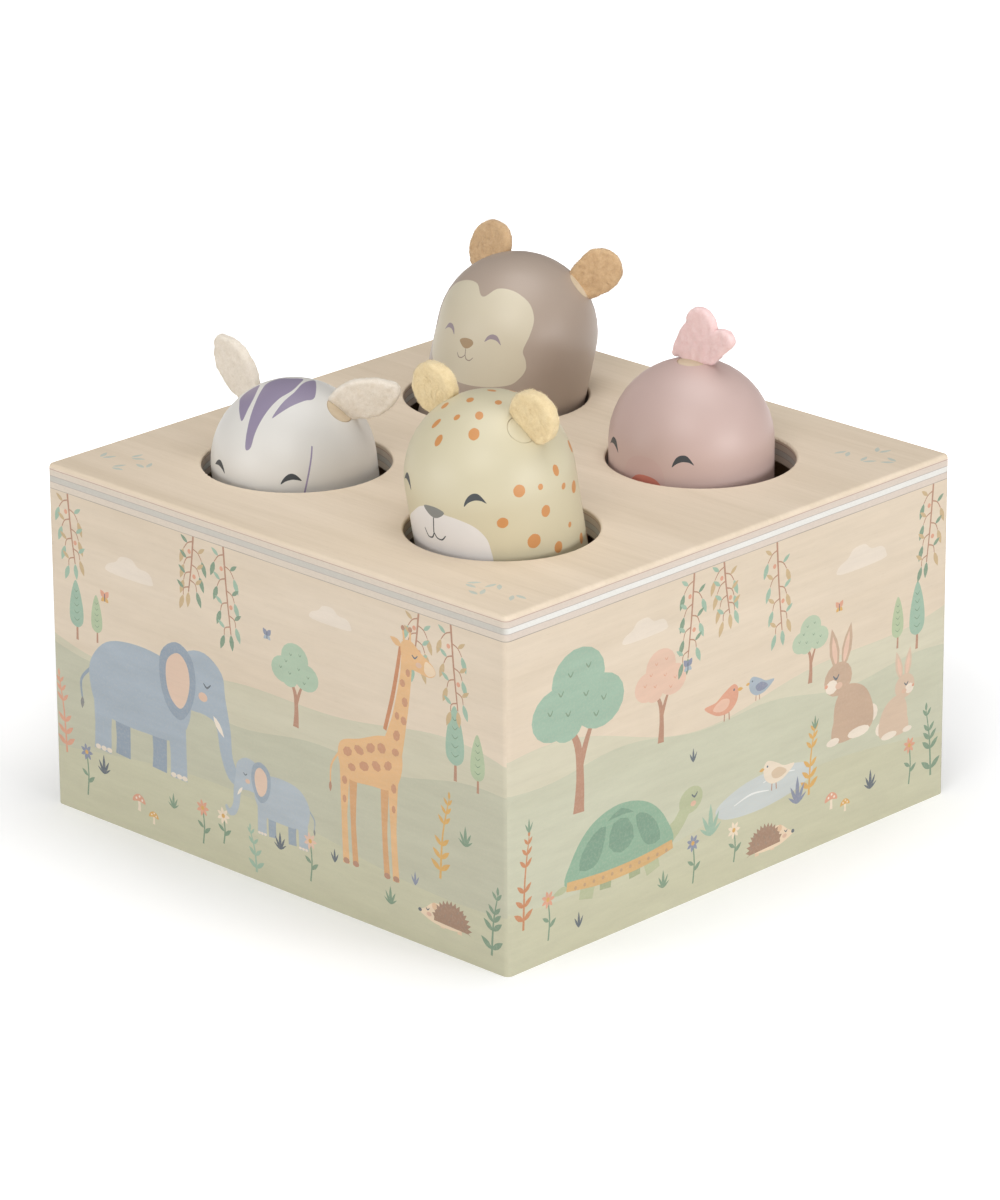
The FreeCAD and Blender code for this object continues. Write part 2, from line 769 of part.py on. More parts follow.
def round_ear(animal, hand):
    """Blade of a round ear: a base that follows the dome, sides that swell, a round top."""
    base = "(Sizes.%s_%s_ear_base / 2)" % (animal, hand)
    half = "(Sizes.%s_%s_ear_width / 2)" % (animal, hand)
    shoulder = "(Sizes.%s_%s_ear_length - %s)" % (animal, hand, half)
    side = swell(shoulder, "%s - %s" % (half, base))
    return (
        ("-" + base, "0", (swell(base, "Sizes.ear_rise"), -1)),
        (base, "0", (side, 1)),
        (half, shoulder, (half, 1, "half")),
        ("-" + half, shoulder, (side, 1)),
    )


def leaf_ear(animal, hand, side):
    """Blade of a leaf shaped ear, whose tip lies further out by its own offset."""
    base = "(Sizes.%s_ear_base / 2)" % animal
    tip = "(Sizes.%s_ear_tip_width / 2)" % animal
    length = "(Sizes.%s_%s_ear_length - %s / 2)" % (animal, hand, tip)
    bulge = "(Sizes.%s_%s_ear_width / 2 - (%s + %s) / 2)" % (animal, hand, base, tip)
    lean = "%d * Sizes.%s_%s_tip_offset" % (side, animal, hand)
    edge = "sqrt(%s ^ 2 + (%s - %s %s %s) ^ 2) / 2"
    plus_edge = swell(edge % (length, tip, base, "+", lean), bulge)
    minus_edge = swell(edge % (length, tip, base, "-", lean), bulge)
    return (
        ("-" + base, "0", (swell(base, "Sizes.ear_rise"), -1)),
        (base, "0", (plus_edge, 1)),
        ("%s + %s" % (tip, lean), length, (swell(tip, tip + " / 2"), 1)),
        ("-%s + %s" % (tip, lean), length, (minus_edge, 1)),
    )


def comb_blade():
    """Blade of the comb: a tall lobe, a notch and a small lobe beside it."""
    base = "(Sizes.comb_base / 2)"
    lobe = "(Sizes.comb_big_lobe_diameter / 2)"
    centre = "Sizes.comb_big_lobe_centre"
    shoulder = "(Sizes.comb_length - %s)" % lobe
    notch = "Sizes.comb_notch_height"
    reach = "Sizes.comb_small_lobe_reach"
    small = "(Sizes.comb_small_lobe_height - Sizes.comb_notch_height)"
    return (
        ("-" + base, "0", (swell("(2 * %s - %s) / 2" % (base, small), "Sizes.ear_rise"), -1)),
        ("%s - %s" % (base, small), "0", None),
        (reach, "%s - %s" % (notch, small), (swell("2 * " + small, "Sizes.comb_small_lobe_rise"), 1)),
        ("%s + %s" % (centre, lobe), notch, None),
        ("%s + %s" % (centre, lobe), shoulder, (lobe, 1, "half")),
        ("%s - %s" % (centre, lobe), shoulder, (swell(notch, small), 1)),
    )


# ---------------------------------------------------------------------------
# Assembly
# ---------------------------------------------------------------------------

def animal_set(animal, side_x, side_y, ears):
    """A figure with its felt pieces and plugs, and the foot, spring and cap under it.

    ears lists (name, side, felt thickness, blade). side is 0 for a comb on the crown.
    """
    axis, seat, head = figure_stance(animal, side_x, side_y)
    pitch = size("hole_pitch") / 2
    foot = V(side_x * pitch, side_y * pitch, size("base_thickness") + size("foot_thickness"))
    spring_foot(animal + "_spring_foot", foot.x, foot.y)
    cap_under = seat.Base - axis * size("cap_thickness")
    coil_spring(animal + "_spring", foot, cap_under, axis)
    spring_cap(animal + "_spring_cap", seat)
    frames = []
    for name, side, thickness, blade in ears:
        angle = size(name + "_angle") if side else 0
        back = size(name + "_back") if side else 0
        frame = ear_frame(side, angle, back, size("ear_tilt") if side else 0)
        frames.append(frame)
        placed = head.multiply(frame)
        felt_piece(name, thickness, blade, placed)
        ear_plug(name + "_plug", placed)
    figure_body(animal + "_figure", "Sizes.%s_length" % animal, frames, head)


for label, across, away, turn in (
        ("front_panel", "box_width", "box_depth", 0),
        ("right_panel", "box_depth", "box_width", 90),
        ("back_panel", "box_width", "box_depth", 180),
        ("left_panel", "box_depth", "box_width", 270)):
    side_panel(label, across, away, turn)
top_panel()
base_panel()
for label, side_x, side_y in (
        ("front_left_post", -1, -1),
        ("front_right_post", 1, -1),
        ("back_right_post", 1, 1),
        ("back_left_post", -1, 1)):
    corner_post(label, side_x, side_y)
screw_group("base_screws", size("box_width") / 2 - worked_out(POST_INSET),
            size("box_depth") / 2 - worked_out(POST_INSET))
screw_group("foot_screws", size("hole_pitch") / 2, size("hole_pitch") / 2)

animal_set("zebra", -1, -1, [
    ("zebra_left_ear", -1, "felt_thickness", leaf_ear("zebra", "left", -1)),
    ("zebra_right_ear", 1, "felt_thickness", leaf_ear("zebra", "right", 1)),
])
for animal, side_x, side_y, thickness in (
        ("leopard", 1, -1, "thick_felt_thickness"),
        ("monkey", -1, 1, "felt_thickness")):
    animal_set(animal, side_x, side_y, [
        (animal + "_left_ear", -1, thickness, round_ear(animal, "left")),
        (animal + "_right_ear", 1, thickness, round_ear(animal, "right")),
    ])
animal_set("flamingo", 1, 1, [("flamingo_comb", 0, "felt_thickness", comb_blade())])

doc.recompute()

# ---------------------------------------------------------------------------
# Check every object and write one STEP file for each node
# ---------------------------------------------------------------------------

failed = [item.Name for item in doc.Objects if "Invalid" in item.State or "Error" in item.State]
if failed:
    raise RuntimeError("failed objects: " + ", ".join(failed))

grouped = []
for item in doc.Objects:
    if item.TypeId == "Part::Compound":
        grouped.extend(item.Links)
nodes = [item for item in doc.Objects
         if item.TypeId in ("PartDesign::Body", "Part::Compound", "Part::Feature") and item not in grouped]
for node in nodes:
    if node.Shape.isNull() or not node.Shape.isValid():
        raise RuntimeError(node.Label + " has no valid shape")
for node in nodes:
    node.Shape.exportStep("parts/%s.step" % node.Label)
    print("%-24s %10.1f mm3" % (node.Label, node.Shape.Volume))
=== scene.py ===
# Pop up animal toy: a square plywood box with four round holes in its lid. In each hole
# a turned wooden animal with felt ears stands on a coil spring and can be pressed down.
import json
import math
import random
from functools import partial

import bmesh
import bpy
from mathutils import Matrix, Vector
from mathutils.geometry import delaunay_2d_cdt


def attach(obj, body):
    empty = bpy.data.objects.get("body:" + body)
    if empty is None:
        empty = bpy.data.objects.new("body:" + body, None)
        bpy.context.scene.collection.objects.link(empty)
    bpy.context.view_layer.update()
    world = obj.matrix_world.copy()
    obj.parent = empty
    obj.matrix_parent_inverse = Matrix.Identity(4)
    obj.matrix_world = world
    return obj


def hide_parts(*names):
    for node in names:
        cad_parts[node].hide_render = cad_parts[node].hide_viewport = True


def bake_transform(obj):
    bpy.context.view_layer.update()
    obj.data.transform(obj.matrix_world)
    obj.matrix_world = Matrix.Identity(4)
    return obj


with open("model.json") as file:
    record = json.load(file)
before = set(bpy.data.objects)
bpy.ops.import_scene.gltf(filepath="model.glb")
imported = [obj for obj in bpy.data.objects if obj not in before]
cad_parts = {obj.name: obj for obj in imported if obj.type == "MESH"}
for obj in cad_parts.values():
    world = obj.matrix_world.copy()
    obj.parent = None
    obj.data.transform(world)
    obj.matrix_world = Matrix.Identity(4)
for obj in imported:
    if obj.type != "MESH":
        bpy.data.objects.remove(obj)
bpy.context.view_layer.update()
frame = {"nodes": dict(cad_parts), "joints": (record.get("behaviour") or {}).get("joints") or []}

nodes = frame["nodes"]
MM = 0.001


# ---------------------------------------------------------------------------
# Base, corner posts, spring feet and caps
# Bare wood inside the box: a plywood base let in between the sides, a square
# post glued into each corner and turned beech feet and caps for the springs.
# ---------------------------------------------------------------------------

def colour(code, cover=1.0):
    """Linear colour of a six digit code, with how strongly it covers what is under it."""
    parts = [int(code[i:i + 2], 16) / 255 for i in (1, 3, 5)]
    linear = [p / 12.92 if p <= 0.04045 else ((p + 0.055) / 1.055) ** 2.4 for p in parts]
    return (*linear, cover)


def wire(tree, kind, sockets=None, **settings):
    """Adds a node to a tree, sets it up, and joins or fills its sockets."""
    node = tree.nodes.new(kind)
    for name, value in settings.items():
        setattr(node, name, value)
    join(tree, node, sockets or {})
    return node


def join(tree, node, sockets):
    for name, value in sockets.items():
        if isinstance(value, bpy.types.NodeSocket):
            tree.links.new(value, node.inputs[name])
        else:
            node.inputs[name].default_value = value


def finish_coat(name, **shader):
    """A new material with a Principled shader, whose plain values are set on its own sockets."""
    made = bpy.data.materials.new(name)
    made.use_nodes = True
    principled = made.node_tree.nodes["Principled BSDF"]
    for label, value in shader.items():
        principled.inputs[label.replace("_", " ").title()].default_value = value
    return made, made.node_tree, principled


def effect(name, inputs, outputs, kind="ShaderNodeTree"):
    """An empty node group; its inputs are (name, kind, value) and its outputs (name, kind)."""
    tree = bpy.data.node_groups.new(name, kind)
    for label, sort, *value in inputs:
        made = tree.interface.new_socket(name=label, in_out="INPUT", socket_type="NodeSocket" + sort)
        if value:
            made.default_value = value[0]
    for label, sort in outputs:
        tree.interface.new_socket(name=label, in_out="OUTPUT", socket_type="NodeSocket" + sort)
    return tree, wire(tree, "NodeGroupInput").outputs, wire(tree, "NodeGroupOutput")


def use_effect(tree, group, **sockets):
    """Places a shader node group in a material with its own values."""
    node = wire(tree, "ShaderNodeGroup", node_tree=group)
    join(tree, node, {label.replace("_", " ").capitalize(): value for label, value in sockets.items()})
    return node.outputs


def maths(tree, operation, a, b=0.0, clamp=False):
    return wire(tree, "ShaderNodeMath", {0: a, 1: b}, operation=operation, use_clamp=clamp).outputs[0]


def weighted(tree, *parts):
    """Sum of values, each with its weight."""
    total, *others = (maths(tree, "MULTIPLY", value, weight) for value, weight in parts)
    for part in others:
        total = maths(tree, "ADD", total, part)
    return total


def between(tree, value, low, high, least=0.0, most=1.0):
    """Turns a value that goes from low to high into one that goes from least to most."""
    limits = {"From Min": low, "From Max": high, "To Min": least, "To Max": most}
    return wire(tree, "ShaderNodeMapRange", {"Value": value, **limits}).outputs[0]


def vectors(tree, operation, a, b):
    return wire(tree, "ShaderNodeVectorMath", {0: a, 1: b}, operation=operation).outputs[0]


def split(tree, vector):
    return wire(tree, "ShaderNodeSeparateXYZ", {0: vector}).outputs


def mixed(tree, share, a, b, blend="MIX"):
    """Colour between a and b."""
    node = wire(tree, "ShaderNodeMix", {0: share, 6: a, 7: b}, data_type="RGBA", blend_type=blend)
    return node.outputs[2]


def ramp(tree, value, stops):
    """Colour ramp through (place, colour) stops."""
    node = wire(tree, "ShaderNodeValToRGB", {0: value})
    band = node.color_ramp
    while len(band.elements) < len(stops):
        band.elements.new(1.0)
    for element, (place, shade) in zip(band.elements, stops):
        element.position = place
        element.color = shade if len(shade) == 4 else (*shade, 1)
    return node.outputs[0]


def grey(value):
    return (value, value, value, 1)


def lightened(tree, shade, light):
    """Colour that is multiplied by a value round one."""
    level = wire(tree, "ShaderNodeCombineColor", {0: light, 1: light, 2: light}).outputs[0]
    return mixed(tree, 1.0, shade, level, "MULTIPLY")


def spread(tree, place, scale, detail=2.0, rough=0.5, distort=0.0):
    """Noise value from a place that is stretched by the scale first."""
    settings = {"Scale": 1.0, "Detail": detail, "Roughness": rough, "Distortion": distort}
    stretched = vectors(tree, "MULTIPLY", place, scale)
    return wire(tree, "ShaderNodeTexNoise", {"Vector": stretched, **settings}).outputs["Fac"]


# Sliced or sawn wood. Place is in millimetres, with X along the grain.
WOOD, socket, out = effect(
    "wood_grain",
    (("Place", "Vector", (0, 0, 0)), ("Pale", "Color", colour("#E0CDB4")),
     ("Dark", "Color", colour("#CBB292")), ("Figure", "Float", 1.0)),
    (("Colour", "Color"), ("Height", "Float")))
broad = spread(WOOD, socket["Place"], (0.011, 0.11, 0.11), 3.0, 0.55, 0.5)
streak = spread(WOOD, socket["Place"], (0.03, 0.9, 0.9), 3.0, 0.6)
fibre = spread(WOOD, socket["Place"], (0.25, 6.0, 6.0), 2.0, 0.6)
pores = spread(WOOD, socket["Place"], (0.4, 5.0, 5.0), 1.0, 0.4)
pores = between(WOOD, pores, 0.64, 0.74)
tone = between(WOOD, weighted(WOOD, (broad, 0.55), (streak, 0.3), (fibre, 0.15)), 0.3, 0.7)
tone = maths(WOOD, "SUBTRACT", tone, maths(WOOD, "MULTIPLY", pores, 0.35))
even = mixed(WOOD, 0.5, socket["Dark"], socket["Pale"])
grained = mixed(WOOD, tone, socket["Dark"], socket["Pale"])
join(WOOD, out, {"Colour": mixed(WOOD, socket["Figure"], even, grained),
                 "Height": maths(WOOD, "SUBTRACT", fibre, pores)})

# Edge of a plywood board. Depth runs from 0 at one face to 1 at the other, and Across is 1
# where the edge faces along X, because every second ply shows its end grain there. The dark
# band at depth 1 is a painted shadow of the gap where the board meets the next.
PLIES, socket, out = effect(
    "ply_edge",
    (("Place", "Vector", (0, 0, 0)), ("Depth", "Float", 0.0),
     ("Across", "Float", 0.0), ("Face", "Color", colour("#E0CDB4"))),
    (("Colour", "Color"), ("Height", "Float"), ("Inside", "Float")))
wobble = maths(PLIES, "SUBTRACT", spread(PLIES, socket["Place"], (0.05, 0.05, 0.05), 2.0), 0.5)
depth = maths(PLIES, "ADD", socket["Depth"], maths(PLIES, "MULTIPLY", wobble, 0.03))
# The last colour is painted shade: the dark shadow in the gap where one board meets the next.
RESIN, GLUE, JOINT_SHADOW, VENEER = colour("#B28A7A"), colour("#B3A69E"), colour("#9C8D80"), colour("#E2D2BF")


def ply_bands(middle, outer):
    """Five plies with their glue lines; the inner three show, and a painted shadow in the joint at the far
    face.
    """
    return ramp(PLIES, depth, (
        (0.0, VENEER), (0.185, VENEER), (0.194, RESIN), (0.206, RESIN), (0.216, outer), (0.448, outer),
        (0.46, GLUE), (0.47, GLUE), (0.484, middle), (0.69, middle), (0.704, GLUE), (0.714, GLUE),
        (0.728, outer), (0.965, outer), (0.985, JOINT_SHADOW), (1.0, JOINT_SHADOW)))


plies = mixed(PLIES, socket["Across"], ply_bands(colour("#C9C4BA"), colour("#DACDBD")),
              ply_bands(colour("#E8E6E0"), colour("#D9CBBE")))
fuzz = spread(PLIES, socket["Place"], (1.5, 1.5, 4.0), 3.0, 0.6)
plies = lightened(PLIES, plies, between(PLIES, fuzz, 0.3, 0.7, 0.93, 1.02))
past_veneer = between(PLIES, socket["Depth"], 0.1, 0.18)
before_joint = between(PLIES, socket["Depth"], 1.0, 0.995)
inside = maths(PLIES, "MULTIPLY", past_veneer, before_joint)
join(PLIES, out, {"Colour": mixed(PLIES, inside, socket["Face"], plies), "Height": fuzz, "Inside": inside})


def place_of(tree, turn=(0, 0, 0)):
    """Place on the whole toy in millimetres, turned so that X runs along the grain."""
    where = wire(tree, "ShaderNodeTexCoord").outputs["Object"]
    sockets = {"Vector": where, "Rotation": turn, "Scale": (1 / MM,) * 3}
    return wire(tree, "ShaderNodeMapping", sockets).outputs[0]


def bump(tree, principled, height, strength, distance):
    node = wire(tree, "ShaderNodeBump", {"Height": height, "Strength": strength, "Distance": distance * MM})
    join(tree, principled, {"Normal": node.outputs[0]})


def plywood(name, lowest, thickness, pale, dark):
    """A level plywood board: grained faces, and plies round its edges and holes."""
    made, tree, shader = finish_coat(name, roughness=0.62)
    place = place_of(tree)
    below = maths(tree, "SUBTRACT", lowest + thickness, split(tree, place)[2])
    depth = maths(tree, "DIVIDE", below, thickness)
    face = use_effect(tree, WOOD, place=place, pale=colour(pale), dark=colour(dark))
    way = split(tree, wire(tree, "ShaderNodeTexCoord").outputs["Normal"])[0]
    across = maths(tree, "MULTIPLY", way, way)
    board = use_effect(tree, PLIES, place=place, depth=depth, across=across, face=face["Colour"])
    join(tree, shader, {"Base Color": board["Colour"]})
    bump(tree, shader, face["Height"], 0.25, 0.05)
    return made


def solid_wood(name, pale, dark, turn):
    made, tree, shader = finish_coat(name, roughness=0.6)
    grain = use_effect(tree, WOOD, place=place_of(tree, turn), pale=colour(pale), dark=colour(dark))
    join(tree, shader, {"Base Color": grain["Colour"]})
    bump(tree, shader, grain["Height"], 0.3, 0.05)
    return made


def give(node, material):
    """Gives a CAD node's object its finish."""
    for holder in nodes[node].material_slots:
        holder.material = material


UPRIGHT_GRAIN = (0, math.pi / 2, 0)
BOARD = 6
give("base_panel", plywood("base_plywood", 0, BOARD, "#DCC8AE", "#CCB494"))
post_wood = solid_wood("post_wood", "#DDC6A2", "#C7A87E", UPRIGHT_GRAIN)
beech = solid_wood("turned_beech", "#E0C6A2", "#CDAA7F", UPRIGHT_GRAIN)
for corner in ("front_left", "front_right", "back_right", "back_left"):
    give(corner + "_post", post_wood)
ANIMALS = ("zebra", "leopard", "flamingo", "monkey")
for animal in ANIMALS:
    give(animal + "_spring_foot", beech)
    give(animal + "_spring_cap", beech)


# ---------------------------------------------------------------------------
# Screws
# Zinc plated cross head wood screws hold the base to the posts and the feet
# to the base. Their threads are lost in the wood, so only the heads show.
# ---------------------------------------------------------------------------

def metal(name, tint, roughness, scratch):
    """Plated steel, a little cloudy, with fine scratches whose run the scratch values set."""
    made, tree, shader = finish_coat(name, metallic=1.0)
    place = place_of(tree)
    cloud = spread(tree, place, (0.6, 0.6, 0.6), 3.0)
    lines = spread(tree, place, scratch, 2.0, 0.7)
    shade = mixed(tree, cloud, colour(tint), mixed(tree, 0.2, colour(tint), grey(0.25)))
    rough = between(tree, lines, 0.0, 1.0, roughness - 0.1, roughness + 0.12)
    join(tree, shader, {"Base Color": shade, "Roughness": rough})
    bump(tree, shader, lines, 0.15, 0.02)
    return made


zinc = metal("zinc_plate", "#C9CACB", 0.32, (9.0, 9.0, 2.0))
give("base_screws", zinc)
give("foot_screws", zinc)


# ---------------------------------------------------------------------------
# Printed sides
# Four plywood panels, mitred at the corners and printed right over the wood with
# soft animals and plants. Each outer face is one sheet, cut along the printed shapes.
# A printed shape is an outline in millimetres with an ink: a colour code, or a code
# and how strongly it covers.
# ---------------------------------------------------------------------------

def smooth(points, steps=5, closed=True):
    """Rounded line through the points."""
    points = [Vector(p) for p in points]
    count = len(points)
    made = []
    for i in range(count if closed else count - 1):
        if closed:
            a, b, c, d = (points[(i + k) % count] for k in (-1, 0, 1, 2))
        else:
            a, b, c, d = (points[min(max(i + k, 0), count - 1)] for k in (-1, 0, 1, 2))
        for step in range(steps):
            t = step / steps
            made.append(0.5 * (2 * b + (c - a) * t + (2 * a - 5 * b + 4 * c - d) * t * t
                               + (3 * b - a - 3 * c + d) * t ** 3))
    return made if closed else made + [points[-1]]


def ribbon(points, widths, steps=5):
    """Outline of a brush stroke along the points, with a width at each."""
    line = smooth(points, steps, closed=False)
    left, right = [], []
    for i, p in enumerate(line):
        way = (line[min(i + 1, len(line) - 1)] - line[max(i - 1, 0)]).normalized()
        share = i / steps
        low = min(int(share), len(widths) - 2)
        width = widths[low] + (widths[low + 1] - widths[low]) * (share - low)
        side = Vector((-way.y, way.x)) * (width / 2)
        left.append(p + side)
        right.append(p - side)
    return left + right[::-1]


def oval(x, y, across, up=None, turn=0.0, count=14):
    """Ellipse round (x, y) by its two half widths, turned by some degrees."""
    up = across if up is None else up
    turn = math.radians(turn)
    made = []
    for k in range(count):
        a = 2 * math.pi * k / count
        p = Vector((math.cos(a) * across, math.sin(a) * up))
        made.append(Vector((x + p.x * math.cos(turn) - p.y * math.sin(turn),
                            y + p.x * math.sin(turn) + p.y * math.cos(turn))))
    return made


def leaf(x, y, length, width, heading):
    """Pointed leaf that grows from (x, y); heading is in degrees from level."""
    turn = math.radians(heading)
    along, side = Vector((math.cos(turn), math.sin(turn))), Vector((-math.sin(turn), math.cos(turn)))
    shape = ((0, 0), (0.18, 0.33), (0.42, 0.5), (0.68, 0.4), (0.88, 0.17), (1, 0))
    upper = [Vector((x, y)) + along * (length * a) + side * (width * b) for a, b in shape]
    lower = [Vector((x, y)) + along * (length * a) - side * (width * b) for a, b in shape[1:-1]]
    return upper + lower[::-1]


def moved(shapes, x, y, scale=1.0, flip=False):
    """The same shapes at another place, size and hand."""
    hand = -scale if flip else scale
    return [([Vector((x + p[0] * hand, y + p[1] * scale)) for p in outline], shade)
            for outline, shade in shapes]


SAGE, TEAL, MOSS, DUSK = "#BDC4B0", "#9FC0AE", "#7F9C86", "#A9B9C9"
LILAC, CORAL, BLUSH, OCHRE = "#8A93AC", "#E0A58C", "#E8C7B4", "#DDAF62"
EARTH, SLATE, SAND, CHALK, CREAM = "#B98D76", "#5F6B78", "#CDB48C", "#F1E7DA", "#F1E2CE"
PANEL_HALF, CORNER_ROUND, SIDE_HEIGHT = 75, 1.5, 80
PANEL_FLAT = PANEL_HALF - CORNER_ROUND
PANEL_REACH = PANEL_FLAT + CORNER_ROUND * math.pi / 4


def fern(x, y, height, shade, lean=0.0, pairs=6, size=4.0):
    """Upright stem with pairs of leaves that get shorter towards its tip."""
    top = Vector((x + lean, y + height))
    middle = Vector((x + lean * 0.3, y + height * 0.55))
    stem = smooth([(x, y), middle, top], 4, closed=False)
    made = [(ribbon([(x, y), middle, top], (0.7, 0.5, 0.3), 4), shade)]
    for k in range(pairs):
        share = 0.2 + 0.72 * k / max(pairs - 1, 1)
        at = stem[int(share * (len(stem) - 1))]
        long = size * (1.05 - 0.55 * share)
        for side in (-1, 1):
            made.append((leaf(at.x, at.y, long, long * 0.36, 90 - side * (58 - 22 * share)), shade))
    made.append((leaf(top.x, top.y, size * 0.5, size * 0.2, 90), shade))
    return made


def tuft(x, y, size, shade, blades=5):
    made = []
    for k in range(blades):
        turn = 90 + (k - (blades - 1) / 2) * 27
        long = size * (1.0 - 0.22 * abs(k - (blades - 1) / 2))
        made.append((leaf(x, y, long, long * 0.2, turn), shade))
    return made


def hanging(x, length, leafy, berry, lean=0.0, size=4.0):
    """Branch that droops from the top edge, with leaves at the ends of its twigs and a few berries."""
    top, foot = SIDE_HEIGHT, SIDE_HEIGHT - length
    points = [(x, top), (x + lean * 0.4, top - length * 0.5), (x + lean, foot)]
    line = smooth(points, 4, closed=False)
    made = [(ribbon(points, (0.6, 0.5, 0.35), 4), EARTH)]
    for k, at in enumerate(line[1:-1]):
        side = 1 if k % 2 else -1
        bend, tip = at + Vector((side * 1.8, -0.7)), at + Vector((side * (3.2 - 0.2 * k), -2.4))
        made.append((ribbon([at, bend, tip], (0.35, 0.3, 0.25), 3), EARTH))
        made.append((leaf(bend.x, bend.y, size * 0.7, size * 0.26, 90 - side * 55),
                     leafy[(k + 1) % len(leafy)]))
        made.append((leaf(tip.x, tip.y, size, size * 0.38, -90 + side * 20), leafy[k % len(leafy)]))
        if k % 3 == 1:
            made.append((oval(at.x - side * 1.1, at.y - 0.9, 0.6, count=9), berry))
    made.append((leaf(line[-1].x, line[-1].y, size, size * 0.38, -90 + lean * 3), leafy[0]))
    return made


def flower(x, y, height, shade, heart=OCHRE, petals=7, size=1.9):
    made = [(ribbon([(x, y), (x + 0.5, y + height / 2), (x, y + height)], (0.5, 0.45, 0.4), 3), MOSS)]
    made.append((leaf(x + 0.3, y + height * 0.3, 3.0, 1.1, 40), MOSS))
    made.append((leaf(x + 0.3, y + height * 0.45, 2.6, 1.0, 145), MOSS))
    for k in range(petals):
        a = 360 * k / petals
        made.append((leaf(x + 0.3 * math.cos(math.radians(a)), y + height + 0.3 * math.sin(math.radians(a)),
                          size, size * 0.5, a), shade))
    made.append((oval(x, y + height, size * 0.3, count=9), heart))
    return made


def toadstool(x, y, size, cap):
    made = [(ribbon([(0, 0), (0.1, 1.2), (0, 2.4)], (1.1, 0.8, 0.9), 3), "#EFE2D0"),
            (smooth([(-2.2, 2.1), (-1.7, 3.5), (0, 4.3), (1.7, 3.5), (2.2, 2.1), (0, 2.5)], 3), cap)]
    made += [(oval(a, b, 0.32, count=8), "#F3E8DB") for a, b in ((-0.9, 3.1), (0.2, 3.7), (1.1, 2.9))]
    return moved(made, x, y, size)


def tree(x, y, size, crown, shade):
    """Round tree with a forked trunk, soft lobes and small ticks in its crown."""
    made = [(ribbon([(0, 0), (0.3, 5), (-0.2, 10), (-2.5, 14)], (2.2, 1.5, 1.3, 0.6)), EARTH),
            (ribbon([(0.1, 6), (1.5, 10), (3.2, 13.5)], (1.2, 1.0, 0.5)), EARTH)]
    for a, b, r, s in ((-4.5, 15.5, 4.6, 3.8), (4.2, 15.2, 4.8, 3.9), (0, 19.6, 5.2, 4.4),
                       (-2.2, 13.4, 3.0, 2.4)):
        made.append((oval(a, b, r, s, count=18), crown))
    for a, b in ((-5.5, 16), (-2, 15), (1.5, 17), (5, 15.5), (-1.5, 20.5), (2, 21),
                 (3.5, 13.5), (-3.4, 18.2)):
        made.append((ribbon([(a - 0.5, b + 0.35), (a, b - 0.3), (a + 0.5, b + 0.35)],
                            (0.15, 0.3, 0.15), 3), shade))
    return moved(made, x, y, size)


def poplar(x, y, size, crown, shade):
    made = [(ribbon([(0, 0), (0.1, 4), (0, 9)], (1.1, 0.9, 0.5), 3), EARTH),
            (smooth([(-2.9, 6), (-3.1, 11), (-1.7, 17), (0, 20), (1.8, 16.5),
                     (3.1, 10.5), (2.7, 6), (0, 4.2)], 4), crown)]
    for k in range(5):
        b = 6.5 + 2.4 * k
        made.append((ribbon([(-1.3 + 0.1 * k, b + 0.9), (0, b), (1.3 - 0.1 * k, b + 0.9)],
                            (0.15, 0.32, 0.15), 3), shade))
    return moved(made, x, y, size)


def cloud(x, y, size):
    return moved([(smooth([(-6, 0), (-6.5, 1.5), (-4, 2.6), (-2.5, 4), (0.5, 4.2), (2.4, 2.9),
                           (5.2, 2.6), (6.4, 1.2), (5.4, 0)], 4), ("#F2E9DF", 0.75))], x, y, size)


def bird(x, y, size, body, wing, flip=False):
    made = [(ribbon([(-0.4, 0), (-0.3, 1.4)], (0.22, 0.22), 2), EARTH),
            (ribbon([(0.7, 0), (0.6, 1.4)], (0.22, 0.22), 2), EARTH),
            (smooth([(-2.6, 1.6), (-4.6, 3.1), (-2.2, 3.4), (-0.6, 4.3), (1.6, 5.2), (2.6, 4.2), (2.3, 2.4),
                     (0.8, 1.2), (-1.0, 1.1)], 4), body),
            (smooth([(-2.8, 2.4), (-1.0, 3.5), (0.7, 3.1), (0.3, 2.0), (-1.2, 1.7)], 4), wing),
            (leaf(2.4, 4.1, 1.2, 0.6, -4), OCHRE), (oval(1.7, 4.3, 0.2, count=7), SLATE)]
    return moved(made, x, y, size, flip)


def butterfly(x, y, size, shade, spot):
    made = [(leaf(0, 0, 2.3, 1.5, 52), shade), (leaf(0, 0, 2.3, 1.5, 128), shade),
            (leaf(0, 0, 1.6, 1.1, -38), spot), (leaf(0, 0, 1.6, 1.1, 218), spot),
            (ribbon([(0, -0.9), (0, 1.0)], (0.3, 0.3), 3), SLATE)]
    return moved(made, x, y, size)


